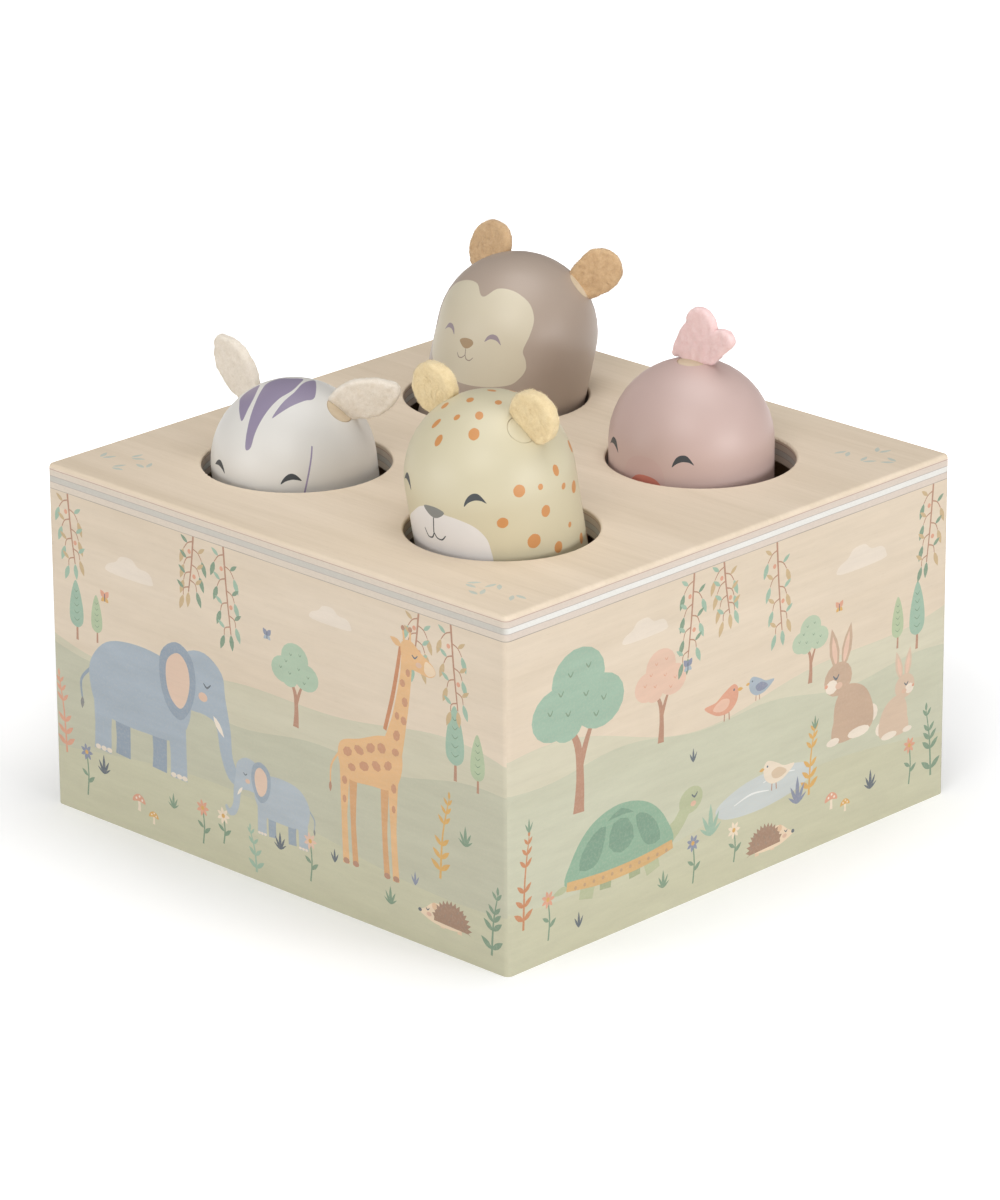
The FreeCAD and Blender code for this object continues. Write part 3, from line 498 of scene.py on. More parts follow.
def elephant(x, y, size, skin, shade, flip=False):
    made = [
        (ribbon([(-14.2, 15.5), (-17.0, 12.5), (-16.8, 8.5)], (0.7, 0.6, 0.4)), shade),
        (leaf(-16.8, 9.2, 2.4, 1.0, -95), (SLATE, 0.8)),
        (ribbon([(-6.2, 10), (-6.0, 4), (-6.2, 0.4)], (4.2, 3.7, 3.9)), shade),
        (ribbon([(3.6, 10), (3.7, 4), (3.5, 0.4)], (4.0, 3.6, 3.8)), shade),
        (smooth([(-14.5, 12), (-14.3, 17), (-10, 21.5), (-3, 23), (5, 22.5), (11, 20), (12, 13), (8, 7.4),
                 (0, 6.6), (-8, 6.8), (-12.5, 8)], 5), skin),
        (ribbon([(-11.2, 11), (-11.4, 5), (-11.6, 0)], (5.2, 4.3, 4.5)), skin),
        (ribbon([(8.2, 11), (8.6, 5), (8.6, 0)], (5.0, 4.2, 4.4)), skin),
        (smooth([(9, 20), (11, 25), (16, 26.2), (20.4, 23.4), (21.2, 19), (22.4, 13),
                 (22.8, 8), (24.6, 5.2), (26.0, 6.4), (26.8, 5.4), (24.8, 2.8),
                 (21.6, 3.9), (19.7, 8), (18.6, 13.2), (15.6, 14.4), (11, 14.8)], 4), skin),
        (smooth([(4.6, 23.6), (8.6, 26.4), (12.4, 24.6), (13.6, 20), (12.4, 15),
                 (9.4, 11.6), (6.0, 13.4), (4.2, 18)], 4), shade),
        (smooth([(6.2, 22.4), (9, 24.4), (11.3, 22.8), (12, 19.4), (11, 15.6),
                 (9.2, 13.8), (6.9, 15.4), (5.8, 18.6)], 4), (BLUSH, 0.7)),
        (leaf(18.0, 14.8, 4.4, 1.2, -52), "#F6EDE0"),
        (ribbon([(15.6, 20.4), (16.5, 19.7), (17.5, 20.5)], (0.2, 0.45, 0.2), 3), SLATE),
        (oval(15.4, 17.7, 1.2, 0.9, count=10), (CORAL, 0.45))]
    for a in (-12.9, -11.4, -9.9, 7.2, 8.7, 10.1):
        made.append((oval(a, 0.5, 0.75, 0.5, count=8), ("#EFE6DA", 0.8)))
    return moved(made, x, y, size, flip)


def giraffe(x, y, size):
    coat, far, patch = "#E9BE8C", "#D9A878", "#C98A62"
    made = [
        (ribbon([(-8.5, 25), (-11.4, 21), (-11.8, 16.5)], (0.6, 0.5, 0.35)), coat),
        (leaf(-11.8, 17.2, 2.4, 0.9, -92), EARTH),
        (ribbon([(-5.0, 21), (-5.2, 10), (-4.6, 0.2)], (2.6, 1.5, 1.7)), far),
        (ribbon([(4.2, 21), (4.0, 10), (4.6, 0.2)], (2.6, 1.5, 1.7)), far),
        (smooth([(-9.2, 22.5), (-8.6, 27), (-3, 29), (3.4, 31.4), (8.2, 31), (9.4, 26),
                 (6.8, 20.4), (0, 19.4), (-6.4, 19.2)], 5), coat),
        (ribbon([(-7.4, 22), (-7.8, 11), (-7.4, 0)], (3.2, 1.7, 1.9)), coat),
        (ribbon([(6.6, 22), (6.6, 11), (7.2, 0)], (3.0, 1.7, 1.9)), coat),
        (ribbon([(5.8, 27), (8.6, 36), (10.6, 46), (11.0, 51.5)], (6.6, 4.2, 3.2, 3.0)), coat),
        (ribbon([(4.4, 33), (6.8, 41), (8.6, 49), (9.2, 53)], (1.0, 1.1, 1.0, 0.6)), patch),
        (ribbon([(10.4, 53.4), (10.0, 56.4)], (0.6, 0.5), 3), coat),
        (oval(10.0, 56.7, 0.6, count=8), EARTH),
        (ribbon([(12.0, 53.4), (12.1, 56.4)], (0.6, 0.5), 3), coat),
        (oval(12.1, 56.8, 0.6, count=8), EARTH),
        (leaf(9.6, 52.6, 3.6, 1.6, 158), coat),
        (smooth([(9.4, 51), (9.6, 53.6), (12.2, 54.4), (15.2, 52.4), (18.4, 50.6),
                 (19.2, 48.9), (17.4, 47.8), (13.6, 48.2), (10.8, 48.6)], 4), coat),
        (smooth([(16.4, 51), (18.5, 50.3), (19.1, 48.9), (17.4, 48.0), (16.0, 48.8)], 4), "#F3DDC0"),
        (ribbon([(12.5, 51.5), (13.3, 50.9), (14.1, 51.6)], (0.2, 0.42, 0.2), 3), SLATE),
        (oval(14.4, 49.7, 0.9, 0.6, count=9), (CORAL, 0.5))]
    for a, b, r, s, t in ((-6.6, 25.2, 1.4, 1.1, 20), (-3.2, 26.4, 1.5, 1.0, -15),
                          (0.2, 27.8, 1.4, 1.1, 30), (3.4, 28.6, 1.3, 1.2, 0), (-5.4, 22.0, 1.2, 0.9, 0),
                          (-1.8, 23.2, 1.5, 1.1, 10), (1.8, 24.2, 1.4, 1.1, -20),
                          (5.2, 25.2, 1.3, 1.0, 40), (-7.6, 18.6, 0.8, 1.0, 0), (6.8, 20.6, 0.8, 1.1, 0),
                          (7.4, 28.8, 1.1, 0.9, 10), (7.8, 32.6, 1.3, 1.0, 70), (9.9, 36.4, 0.9, 1.0, 0),
                          (8.0, 37.0, 0.7, 0.9, 0), (10.3, 40.6, 0.9, 1.1, 0), (9.7, 44.6, 0.8, 0.9, 0),
                          (11.3, 47.2, 0.7, 0.9, 0), (-7.7, 14.4, 0.6, 0.9, 0), (6.7, 16.0, 0.6, 0.9, 0)):
        made.append((oval(a, b, r, s, t, 7), (patch, 0.85)))
    for a in (-7.4, 7.2, -4.6, 4.6):
        made.append((oval(a, 0.6, 0.95, 0.7, count=8), EARTH))
    return moved(made, x, y, size)


def tortoise(x, y, size):
    skin, shell, rim = "#B9C2A0", "#8FB59E", "#D9B27A"
    made = [
        (leaf(-12.2, 3.6, 4.0, 1.3, 188), skin),
        (ribbon([(-7.5, 4), (-8.4, 0.2)], (3.6, 3.2), 3), skin),
        (ribbon([(6.5, 4), (7.6, 0.2)], (3.6, 3.2), 3), skin),
        (ribbon([(-3.6, 3), (-3.8, 0.6)], (2.8, 2.6), 3), "#A3AF8C"),
        (ribbon([(3.0, 3), (3.2, 0.6)], (2.8, 2.6), 3), "#A3AF8C"),
        (ribbon([(9.5, 4.2), (13.4, 6.6), (15.6, 9.2)], (3.6, 2.7, 2.6)), skin),
        (oval(16.6, 10.0, 2.9, 2.3, 12, 16), skin),
        (smooth([(-12.6, 3.4), (-11.6, 8), (-7.2, 12.6), (-0.6, 14.4), (6.2, 12.8),
                 (10.6, 8.6), (11.8, 3.4), (0, 2.6)], 5), shell),
        (ribbon([(-12.8, 3.6), (-6, 2.8), (0, 2.6), (6, 2.8), (12.2, 3.6)], (1.6, 2.0, 2.0, 2.0, 1.6)),
         rim),
        (ribbon([(16.8, 10.9), (17.5, 10.3), (18.2, 11.0)], (0.2, 0.4, 0.2), 3), SLATE),
        (oval(17.2, 9.2, 0.7, 0.5, count=8), (CORAL, 0.6))]
    for points in (((-2.9, 7.6), (-1.9, 11.4), (1.6, 11.4), (3.0, 7.6), (0, 5.8)),
                   ((-9.8, 5.6), (-9.2, 8.4), (-6.4, 11.0), (-3.6, 11.4), (-4.6, 7.2), (-6.6, 5.2)),
                   ((9.2, 5.4), (8.4, 8.6), (5.8, 11.0), (3.4, 11.2), (4.6, 7.2), (6.4, 5.2)),
                   ((-1.8, 12.3), (1.4, 12.3), (3.0, 12.0), (0, 13.6), (-3.2, 12.2))):
        made.append((smooth(points, 2), "#79A08C"))
    for a in range(-5, 6):
        made.append((oval(a * 2.15, 2.7 + 0.008 * a * a, 0.35, count=6), ("#B98D5E", 0.8)))
    return moved(made, x, y, size)


def hare(x, y, size, fur, flip=False):
    made = [
        (oval(-5.4, 3.0, 1.7, 1.6, count=12), CHALK),
        (smooth([(-5.6, 1.0), (-5.8, 4.6), (-3.6, 8.2), (0.4, 9.6), (3.2, 7.6),
                 (3.8, 3.6), (3.2, 0.2), (-2, 0)], 5), fur),
        (leaf(1.6, 12.8, 7.6, 2.4, 104), fur), (leaf(3.2, 12.8, 7.6, 2.4, 80), fur),
        (leaf(1.5, 13.6, 5.4, 1.2, 104), BLUSH), (leaf(3.3, 13.6, 5.4, 1.2, 80), BLUSH),
        (oval(2.8, 11.2, 3.4, 2.9, 0, 16), fur),
        (oval(4.4, 10.2, 1.5, 1.2, count=10), CHALK),
        (oval(5.7, 10.6, 0.45, 0.35, count=7), CORAL),
        (ribbon([(2.6, 12.0), (3.3, 11.3), (4.0, 12.0)], (0.2, 0.42, 0.2), 3), SLATE),
        (oval(2.6, 10.0, 0.9, 0.6, count=8), (CORAL, 0.5)),
        (ribbon([(2.3, 5.2), (3.5, 2.8), (3.6, 0.6)], (1.6, 1.3, 1.5), 3), fur),
        (oval(3.9, 0.5, 1.6, 0.7, count=10), CHALK), (oval(-2.4, 0.6, 2.7, 0.9, count=12), CHALK)]
    return moved(made, x, y, size, flip)


def hedgehog(x, y, size, flip=False):
    spiky = []
    for k in range(15):
        a = math.radians(12 + 168 * k / 14)
        spiky += [Vector((-1.4 + 6.0 * math.cos(a), 1.2 + 5.9 * math.sin(a))),
                  Vector((-1.6 + 7.2 * math.cos(a + 0.1), 1.2 + 7.1 * math.sin(a + 0.1)))]
    made = [
        (ribbon([(-4.4, 1.2), (-4.4, 0)], (1.5, 1.5), 2), "#E6CDB2"),
        (ribbon([(1.6, 1.2), (1.6, 0)], (1.5, 1.5), 2), "#E6CDB2"),
        (smooth([(-6.2, 2.0), (-3, 0.5), (3.6, 0.5), (7.6, 1.5), (9.6, 2.7), (7.4, 4.1),
                 (5.2, 5.8), (2.4, 6.2), (-2, 5)], 4), "#F0DCC3"),
        ([Vector((-7.4, 1.0))] + [Vector((4.6, 1.4))] + spiky, "#A58672"),
        (oval(9.5, 2.9, 0.65, 0.55, count=8), SLATE),
        (ribbon([(6.2, 4.1), (6.8, 3.5), (7.4, 4.0)], (0.2, 0.4, 0.2), 3), SLATE),
        (oval(6.3, 2.5, 0.9, 0.6, count=8), (CORAL, 0.55)),
        (oval(4.4, 5.2, 0.9, 1.0, count=9), "#E3C3A4")]
    for a, b in ((-5, 3), (-3.4, 5), (-1, 6.2), (1.4, 5.4), (-3.6, 2.6), (-1.2, 3.8),
                 (1.0, 3.0), (-6.2, 2.0), (2.8, 4.0), (-5.2, 5.0), (-0.6, 2.0)):
        made.append((leaf(a, b, 1.5, 0.4, 118), ("#7F6657", 0.8)))
    return moved(made, x, y, size, flip)


def meadow(ground, hill, wave):
    """Pale sky over two soft hills and a near bank. It is printed first, under everything else."""
    edge, step, count = PANEL_HALF + 1, 4, 39

    def land(height):
        crest = [Vector((edge - step * k, height(k))) for k in range(count)]
        return [Vector((edge, -1)), *crest, Vector((-edge, -1))]

    def far(k):
        return 47 + 4.5 * math.sin(wave + 0.14 * k) + 2.2 * math.sin(1.7 * wave + 0.31 * k)

    def middle(k):
        return 41 + 3.0 * math.sin(2 + wave + 0.11 * k) + 1.2 * math.sin(0.5 * k)

    def near(k):
        return 17 + 3.5 * math.sin(3.6 + wave + 0.16 * k)

    low, high = -1, SIDE_HEIGHT + 1
    sky = [Vector(p) for p in ((-edge, low), (edge, low), (edge, high), (-edge, high))]
    return [(sky, ("#EADBC8", 0.5)), (land(far), (hill, 0.62)), (land(middle), (ground, 0.8)),
            (land(near), ("#C6CBB0", 0.8))]


front_print = (
    meadow(SAGE, "#CACFB9", 0.4) + cloud(-47, 64, 1.2) + cloud(20, 70, 1.0)
    + poplar(-66, 44, 0.75, TEAL, MOSS) + poplar(-59, 45, 0.6, "#B5C9A8", MOSS)
    + tree(8, 42, 0.85, "#B2CCB6", MOSS) + poplar(66, 42, 0.7, "#B5C9A8", MOSS)
    + poplar(59, 43, 0.9, TEAL, MOSS) + hanging(-68, 17, (TEAL, SAND), CORAL, 2)
    + hanging(-25, 14, (SAND, MOSS), CORAL, -2) + hanging(-15, 21, (MOSS, TEAL), CORAL, 2)
    + hanging(48, 13, (TEAL, SAND), CORAL, -2) + hanging(58, 20, (SAND, TEAL), CORAL, 2)
    + elephant(-43, 18, 1.3, DUSK, "#94A5B8") + elephant(2, 12, 0.68, "#B4C2CF", "#9DADBE", True)
    + giraffe(32, 13, 1.1) + butterfly(-56, 57, 1.0, CORAL, OCHRE) + butterfly(-1, 62, 0.9, LILAC, DUSK)
    + fern(54, 18, 20, OCHRE, 3) + fern(-71, 14, 19, CORAL, -2) + tuft(62, 28, 5, MOSS)
    + tuft(-58, 12, 5, SLATE) + flower(-64, 5, 11, LILAC) + flower(-24, 4, 9, CORAL)
    + flower(-17, 6, 7, CREAM, OCHRE) + flower(12, 5, 10, BLUSH) + toadstool(-46, 6, 1.0, CORAL)
    + toadstool(-41, 4, 0.75, OCHRE) + hedgehog(56, 6, 0.9, True) + tuft(2, 10, 4.5, SLATE)
    + tuft(38, 7, 4.5, MOSS) + tuft(20, 12, 3.5, SLATE, 3) + fern(70, 4, 15, MOSS, 2, 5, 4.5)
    + fern(-6, 2, 10, TEAL, -2, 4, 3.5) + tuft(-34, 10, 4, MOSS) + tuft(46, 14, 3.5, LILAC, 3))

water = smooth([(-6, 20), (4, 23.5), (18, 24), (27, 21.5), (24, 17.5), (10, 15.5), (-3, 16.5)], 5)
pond = [(water, ("#C9D6DD", 0.85)),
        (ribbon([(0, 19), (6, 20.2), (12, 19.4)], (0.2, 0.5, 0.2)), "#EEF3F5"),
        (ribbon([(10, 21.8), (15, 22.6), (21, 21.8)], (0.2, 0.5, 0.2)), "#EEF3F5")]
right_print = (
    meadow("#C6CEB9", "#D2D6C0", 2.3) + cloud(-30, 69, 1.1) + cloud(44, 66, 1.3)
    + tree(-52, 33, 1.65, TEAL, MOSS) + tree(-25, 42, 0.95, BLUSH, CORAL)
    + poplar(64, 40, 0.85, TEAL, MOSS) + poplar(57, 42, 0.65, "#B8CBA8", MOSS)
    + tree(26, 42, 0.7, "#BCD0B8", MOSS) + hanging(-14, 20, (MOSS, TEAL), CORAL, -2)
    + hanging(-4, 13, (SAND, TEAL), CORAL, 2) + hanging(14, 22, (TEAL, SAND), CORAL, 2)
    + hanging(69, 19, (MOSS, SAND), CORAL, -2) + bird(-3, 41, 1.6, CORAL, "#EBC3AE")
    + bird(8, 43, 1.2, DUSK, LILAC, True) + tortoise(-38, 11, 1.4) + hare(40, 24, 1.45, "#C9AE98", True)
    + hare(57, 20, 1.05, "#DAC3AE") + pond + bird(14, 19, 1.5, "#EFE3D2", "#DCC7AE", True)
    + fern(26, 14, 17, OCHRE, 2) + tuft(-8, 14, 8, TEAL) + tuft(22, 13, 7, LILAC)
    + butterfly(-16, 58, 1.0, LILAC, DUSK) + butterfly(36, 58, 0.9, CORAL, OCHRE)
    + fern(-70, 10, 22, "#C9895F", 2) + flower(-62, 5, 10, CORAL) + flower(-14, 4, 10, LILAC)
    + flower(0, 5, 8, CREAM, OCHRE) + flower(62, 6, 10, CORAL) + toadstool(34, 8, 1.0, CORAL)
    + toadstool(39, 6, 0.75, OCHRE) + hedgehog(12, 4, 0.9) + tuft(48, 9, 5, SLATE)
    + fern(70, 6, 17, MOSS, -2, 5, 4.5) + tuft(-24, 6, 4.5, MOSS) + tuft(-52, 5, 4, SLATE, 3)
    + tuft(28, 30, 3.5, MOSS, 3) + tuft(-68, 33, 3.5, MOSS, 3) + tuft(-14, 34, 3.5, SLATE, 3))


def anticlockwise(outline):
    area = sum(a.x * b.y - b.x * a.y for a, b in zip(outline, outline[1:] + outline[:1]))
    return outline if area > 0 else outline[::-1]


def cut_sheet(grounds, shapes):
    """Cuts a flat sheet, made of the ground outlines, along the shapes laid on it.

    Returns its points, its triangles and the number of the topmost shape on each,
    or -1 where there is none.
    """
    points, faces = [], []
    for outline in [*grounds, *[outline for outline, _ in shapes]]:
        first = len(points)
        points += anticlockwise([Vector(p) for p in outline])
        faces.append(list(range(first, len(points))))
    inside_only, merge = 1, 1e-4
    places, _, triangles, _, _, sources = delaunay_2d_cdt(points, [], faces, inside_only, merge)
    kept, tops = [], []
    for triangle, source in zip(triangles, sources):
        if any(number < len(grounds) for number in source):
            kept.append(triangle)
            tops.append(max(source) - len(grounds) if max(source) >= len(grounds) else -1)
    return places, kept, tops


def on_skin(across):
    """Where a point of the unrolled outer face lies on the front panel, and its normal."""
    angle = max(abs(across) - PANEL_FLAT, 0) / CORNER_ROUND
    side = math.copysign(1, across)
    return (side * (min(abs(across), PANEL_FLAT) + CORNER_ROUND * math.sin(angle)),
            -(PANEL_FLAT + CORNER_ROUND * math.cos(angle)),
            Vector((side * math.sin(angle), -math.cos(angle), 0)))


def placed(name, data):
    """A new object in the scene, at the origin."""
    made = bpy.data.objects.new(name, data)
    bpy.context.scene.collection.objects.link(made)
    return made


def piece(name, mesh, materials=(), smooth_faces=True):
    """A new object at the origin with this mesh and these materials."""
    for material in materials:
        mesh.materials.append(material)
    mesh.polygons.foreach_set("use_smooth", [smooth_faces] * len(mesh.polygons))
    return placed(name, mesh)


def coat(face, layer, ink=None):
    """Gives all corners of a face one ink, or none where the wood is bare."""
    if ink is None:
        shade = (1, 1, 1, 0)
    else:
        shade = colour(ink) if isinstance(ink, str) else colour(*ink)
    for loop in face.loops:
        loop[layer] = shade


def new_verts(extruded):
    return [item for item in extruded["geom"] if isinstance(item, bmesh.types.BMVert)]


def finished_mesh(shell, name, turn=Matrix()):
    """Mesh in metres of a shell in millimetres, turned into its place."""
    mesh = bpy.data.meshes.new(name)
    shell.to_mesh(mesh)
    shell.free()
    mesh.transform(Matrix.Scale(MM, 4) @ turn)
    return mesh


def printed_side(name, turn, shapes, material):
    """One side: a printed sheet round its outer face, and bare edges and back behind it."""
    # Columns of the sheet: its rounded edges in three steps each, and the flat between them.
    steps = [-PANEL_REACH, -74.3, -73.9, -PANEL_FLAT]
    steps += [-step for step in reversed(steps)]
    grounds = [[(a, 0), (b, 0), (b, SIDE_HEIGHT), (a, SIDE_HEIGHT)] for a, b in zip(steps, steps[1:])]
    places, triangles, tops = cut_sheet(grounds, shapes)
    shell = bmesh.new()
    ink = shell.loops.layers.float_color.new("ink")
    where = shell.verts.layers.float_vector.new("place")
    outer = {}
    for index in sorted({index for triangle in triangles for index in triangle}):
        x, y, _ = on_skin(places[index].x)
        outer[index] = shell.verts.new((x, y, places[index].y))
    for triangle, top in zip(triangles, tops):
        face = shell.faces.new([outer[index] for index in triangle])
        coat(face, ink, shapes[top][1] if top >= 0 else None)
    printed = set(shell.faces)
    rim = [edge for edge in shell.edges if edge.is_boundary]
    inner = new_verts(bmesh.ops.extrude_edge_only(shell, edges=rim))
    inner_half = PANEL_HALF - BOARD
    for vert in inner:
        vert.co.x = min(max(vert.co.x, -inner_half), inner_half)
        vert.co.y = -inner_half
    bmesh.ops.remove_doubles(shell, verts=inner, dist=1e-4)
    bmesh.ops.holes_fill(shell, edges=[edge for edge in shell.edges if edge.is_boundary], sides=0)
    for face in shell.faces:
        if face not in printed:
            face.material_index = 1
            coat(face, ink)
    for vert in shell.verts:
        vert[where] = (vert.co.x, vert.co.z, vert.co.y + PANEL_HALF)
    bmesh.ops.recalc_face_normals(shell, faces=shell.faces)
    normals = []
    for face in shell.faces:
        for loop in face.loops:
            if face in printed:
                spot = loop.vert.co
                angle = math.atan2(max(abs(spot.x) - PANEL_FLAT, 0), -spot.y - PANEL_FLAT)
                normals.append(Vector((math.copysign(math.sin(angle), spot.x), -math.cos(angle), 0)))
            else:
                normals.append(face.normal.copy())
    rotation = Matrix.Rotation(math.radians(turn), 4, "Z")
    mesh = finished_mesh(shell, name, rotation)
    made = piece(name, mesh, material)
    mesh.normals_split_custom_set([rotation @ normal for normal in normals])
    return made


def attribute(tree, name):
    return wire(tree, "ShaderNodeAttribute", attribute_name=name).outputs


def printed_wood(name, seed):
    """Water colour print that soaks a little into plywood, so the grain shows through."""
    made, tree, shader = finish_coat(name, roughness=0.56)
    shifted = vectors(tree, "ADD", attribute(tree, "place")["Vector"], (seed * 100, seed * 40, 0))
    wood = use_effect(tree, WOOD, place=shifted, pale=colour("#DFD1BD"), dark=colour("#CDBDA5"))
    ink = attribute(tree, "ink")
    wash = spread(tree, shifted, (0.07, 0.3, 0.3), 4.0, 0.6)
    speck = spread(tree, shifted, (1.6, 1.6, 1.6), 2.0, 0.6)
    washed = lightened(tree, ink["Color"], between(tree, wash, 0.3, 0.7, 0.94, 1.05))
    veined = mixed(tree, 1.0, washed, mixed(tree, 0.35, wood["Colour"], grey(1.0)), "MULTIPLY")
    grained = mixed(tree, 0.55, washed, veined)
    cover = between(tree, speck, 0.25, 0.55, 0.82, 0.97)
    share = maths(tree, "MULTIPLY", ink["Alpha"], cover, clamp=True)
    join(tree, shader, {"Base Color": mixed(tree, share, wood["Colour"], grained)})
    bump(tree, shader, wood["Height"], 0.2, 0.05)
    return made


def panel_edge():
    """Plies at the lower and upper edges of the sides, and bare veneer inside the box, painted darker than
    the lid for the shade inside the box.
    """
    made, tree, shader = finish_coat("side_edge", roughness=0.62)
    place = attribute(tree, "place")["Vector"]
    depth = maths(tree, "DIVIDE", split(tree, place)[2], BOARD)
    # Darker than the lid's wood: painted shade inside the box.
    wood = use_effect(tree, WOOD, place=place, pale=colour("#D0BC9E"), dark=colour("#BCA381"))
    board = use_effect(tree, PLIES, place=place, depth=depth, face=wood["Colour"])
    join(tree, shader, {"Base Color": board["Colour"]})
    bump(tree, shader, wood["Height"], 0.25, 0.05)
    return made


side_edge = panel_edge()
for seed, (side, turn, shapes) in enumerate((("front", 0, front_print), ("right", 90, right_print),
                                             ("back", 180, front_print), ("left", 270, right_print))):
    made = printed_side(side + "_printed_side", turn, shapes,
                        [printed_wood(side + "_print", seed), side_edge])
    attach(made, "box")
    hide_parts(side + "_panel")


# ---------------------------------------------------------------------------
# Lid
# One bare plywood board glued on the sides, with four round holes. Small leaf marks
# are printed near its corners.
# ---------------------------------------------------------------------------

give("top_panel", plywood("lid_plywood", SIDE_HEIGHT, BOARD, "#EDDCC6", "#DCCAB1"))
MARK_CORNERS = ((-62, -62), (60, -64), (63, 61), (-61, 63))
MARK_PAIRS = ((-6.5, -1.5), (0.5, -4.5), (6.5, 0.5), (-1.0, 3.0))
MARK_SUNK, MARK_THICKNESS = 0.01, 0.02


def lid_marks():
    """Small pairs of leaves, a hair above the lid."""
    marks = bmesh.new()
    rng = random.Random(4)
    level = SIDE_HEIGHT + BOARD - MARK_SUNK
    for x, y in MARK_CORNERS:
        for dx, dy in MARK_PAIRS:
            heading = rng.uniform(0, 360)
            for side in (-1, 1):
                way = math.radians(heading + side * 90)
                root_x, root_y = x + dx + 0.35 * math.cos(way), y + dy + 0.35 * math.sin(way)
                outline = leaf(root_x, root_y, 3.4, 1.2, heading + side * 26)
                low = [marks.verts.new((p.x, p.y, level)) for p in anticlockwise(outline)]
                face = marks.faces.new(low)
                for vert in new_verts(bmesh.ops.extrude_face_region(marks, geom=[face])):
                    vert.co.z += MARK_THICKNESS
    bmesh.ops.recalc_face_normals(marks, faces=marks.faces)
    return finished_mesh(marks, "lid_leaf_marks")


made, tree, shader = finish_coat("leaf_mark_ink", roughness=0.6)
grain = use_effect(tree, WOOD, place=place_of(tree), pale=colour("#CDD0C4"), dark=colour("#BCC1B6"))
join(tree, shader, {"Base Color": grain["Colour"]})
marks = piece("lid_leaf_marks", lid_marks(), [made], smooth_faces=False)
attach(marks, "box")


# ---------------------------------------------------------------------------
# Springs
# Zinc plated steel wire, wound with closed end turns. Each spring sits over the spigots
# of its foot and cap, and bends a little where the figure above it leans.
# ---------------------------------------------------------------------------

# Lengths in mm.
WIRE, COIL_RADIUS, TURNS, CLOSED_TURNS, SPRING_GAP = 1.2, 12.9, 6.5, 1.0, 0.3
HOLE_PITCH, FOOT_TOP, FOOT_SPIGOT, CAP_THICKNESS, CAP_SPIGOT = 67, 10, 6, 3.5, 4
CURVE_STEPS, COIL_POINTS = 16, 260
CORNERS = {"zebra": (-1, -1), "leopard": (1, -1), "flamingo": (1, 1), "monkey": (-1, 1)}


def stand_of(animal):
    """Axis of a figure and the middle of its seat on the cap, in millimetres."""
    joint = next(j for j in frame["joints"] if j["name"] == animal + "_turn")
    return Vector(joint["axis"]).normalized(), Vector(joint["pos_m"]) / MM


def centre_line(animal):
    """Points up the middle of a spring, from the foot it stands on to the cap it carries."""
    axis, seat = stand_of(animal)
    side_x, side_y = CORNERS[animal]
    start = Vector((side_x * HOLE_PITCH / 2, side_y * HOLE_PITCH / 2, FOOT_TOP))
    end = seat - axis * CAP_THICKNESS
    low = start + Vector((0, 0, FOOT_SPIGOT + WIRE))
    high = end - axis * (CAP_SPIGOT + WIRE)
    reach = (high - low).length / 3
    pull, push = low + Vector((0, 0, reach)), high - axis * reach
    line = [start]
    for step in range(CURVE_STEPS + 1):
        t = step / CURVE_STEPS
        rest = 1 - t
        a, b, c, d = rest ** 3, 3 * rest ** 2 * t, 3 * rest * t * t, t ** 3
        line.append(low * a + pull * b + push * c + high * d)
    return line + [end]


def vector_of(tree, x, y, z):
    return wire(tree, "ShaderNodeCombineXYZ", {0: x, 1: y, 2: z}).outputs[0]


def unit(tree, vector):
    return wire(tree, "ShaderNodeVectorMath", {0: vector}, operation="NORMALIZE").outputs[0]


def tube_along(tree, path, section):
    """Round wire or fibre along a curve."""
    ring = wire(tree, "GeometryNodeCurvePrimitiveCircle", section).outputs[0]
    sockets = {"Curve": path, "Profile Curve": ring, "Fill Caps": True}
    return wire(tree, "GeometryNodeCurveToMesh", sockets).outputs[0]


def end_growth(tree, result, label, shape, finish):
    """Last nodes of a growth: real geometry with its material."""
    real = wire(tree, "GeometryNodeRealizeInstances", {0: shape}).outputs[0]
    done = wire(tree, "GeometryNodeSetMaterial", {"Geometry": real, "Material": finish}).outputs[0]
    join(tree, result, {label: done})


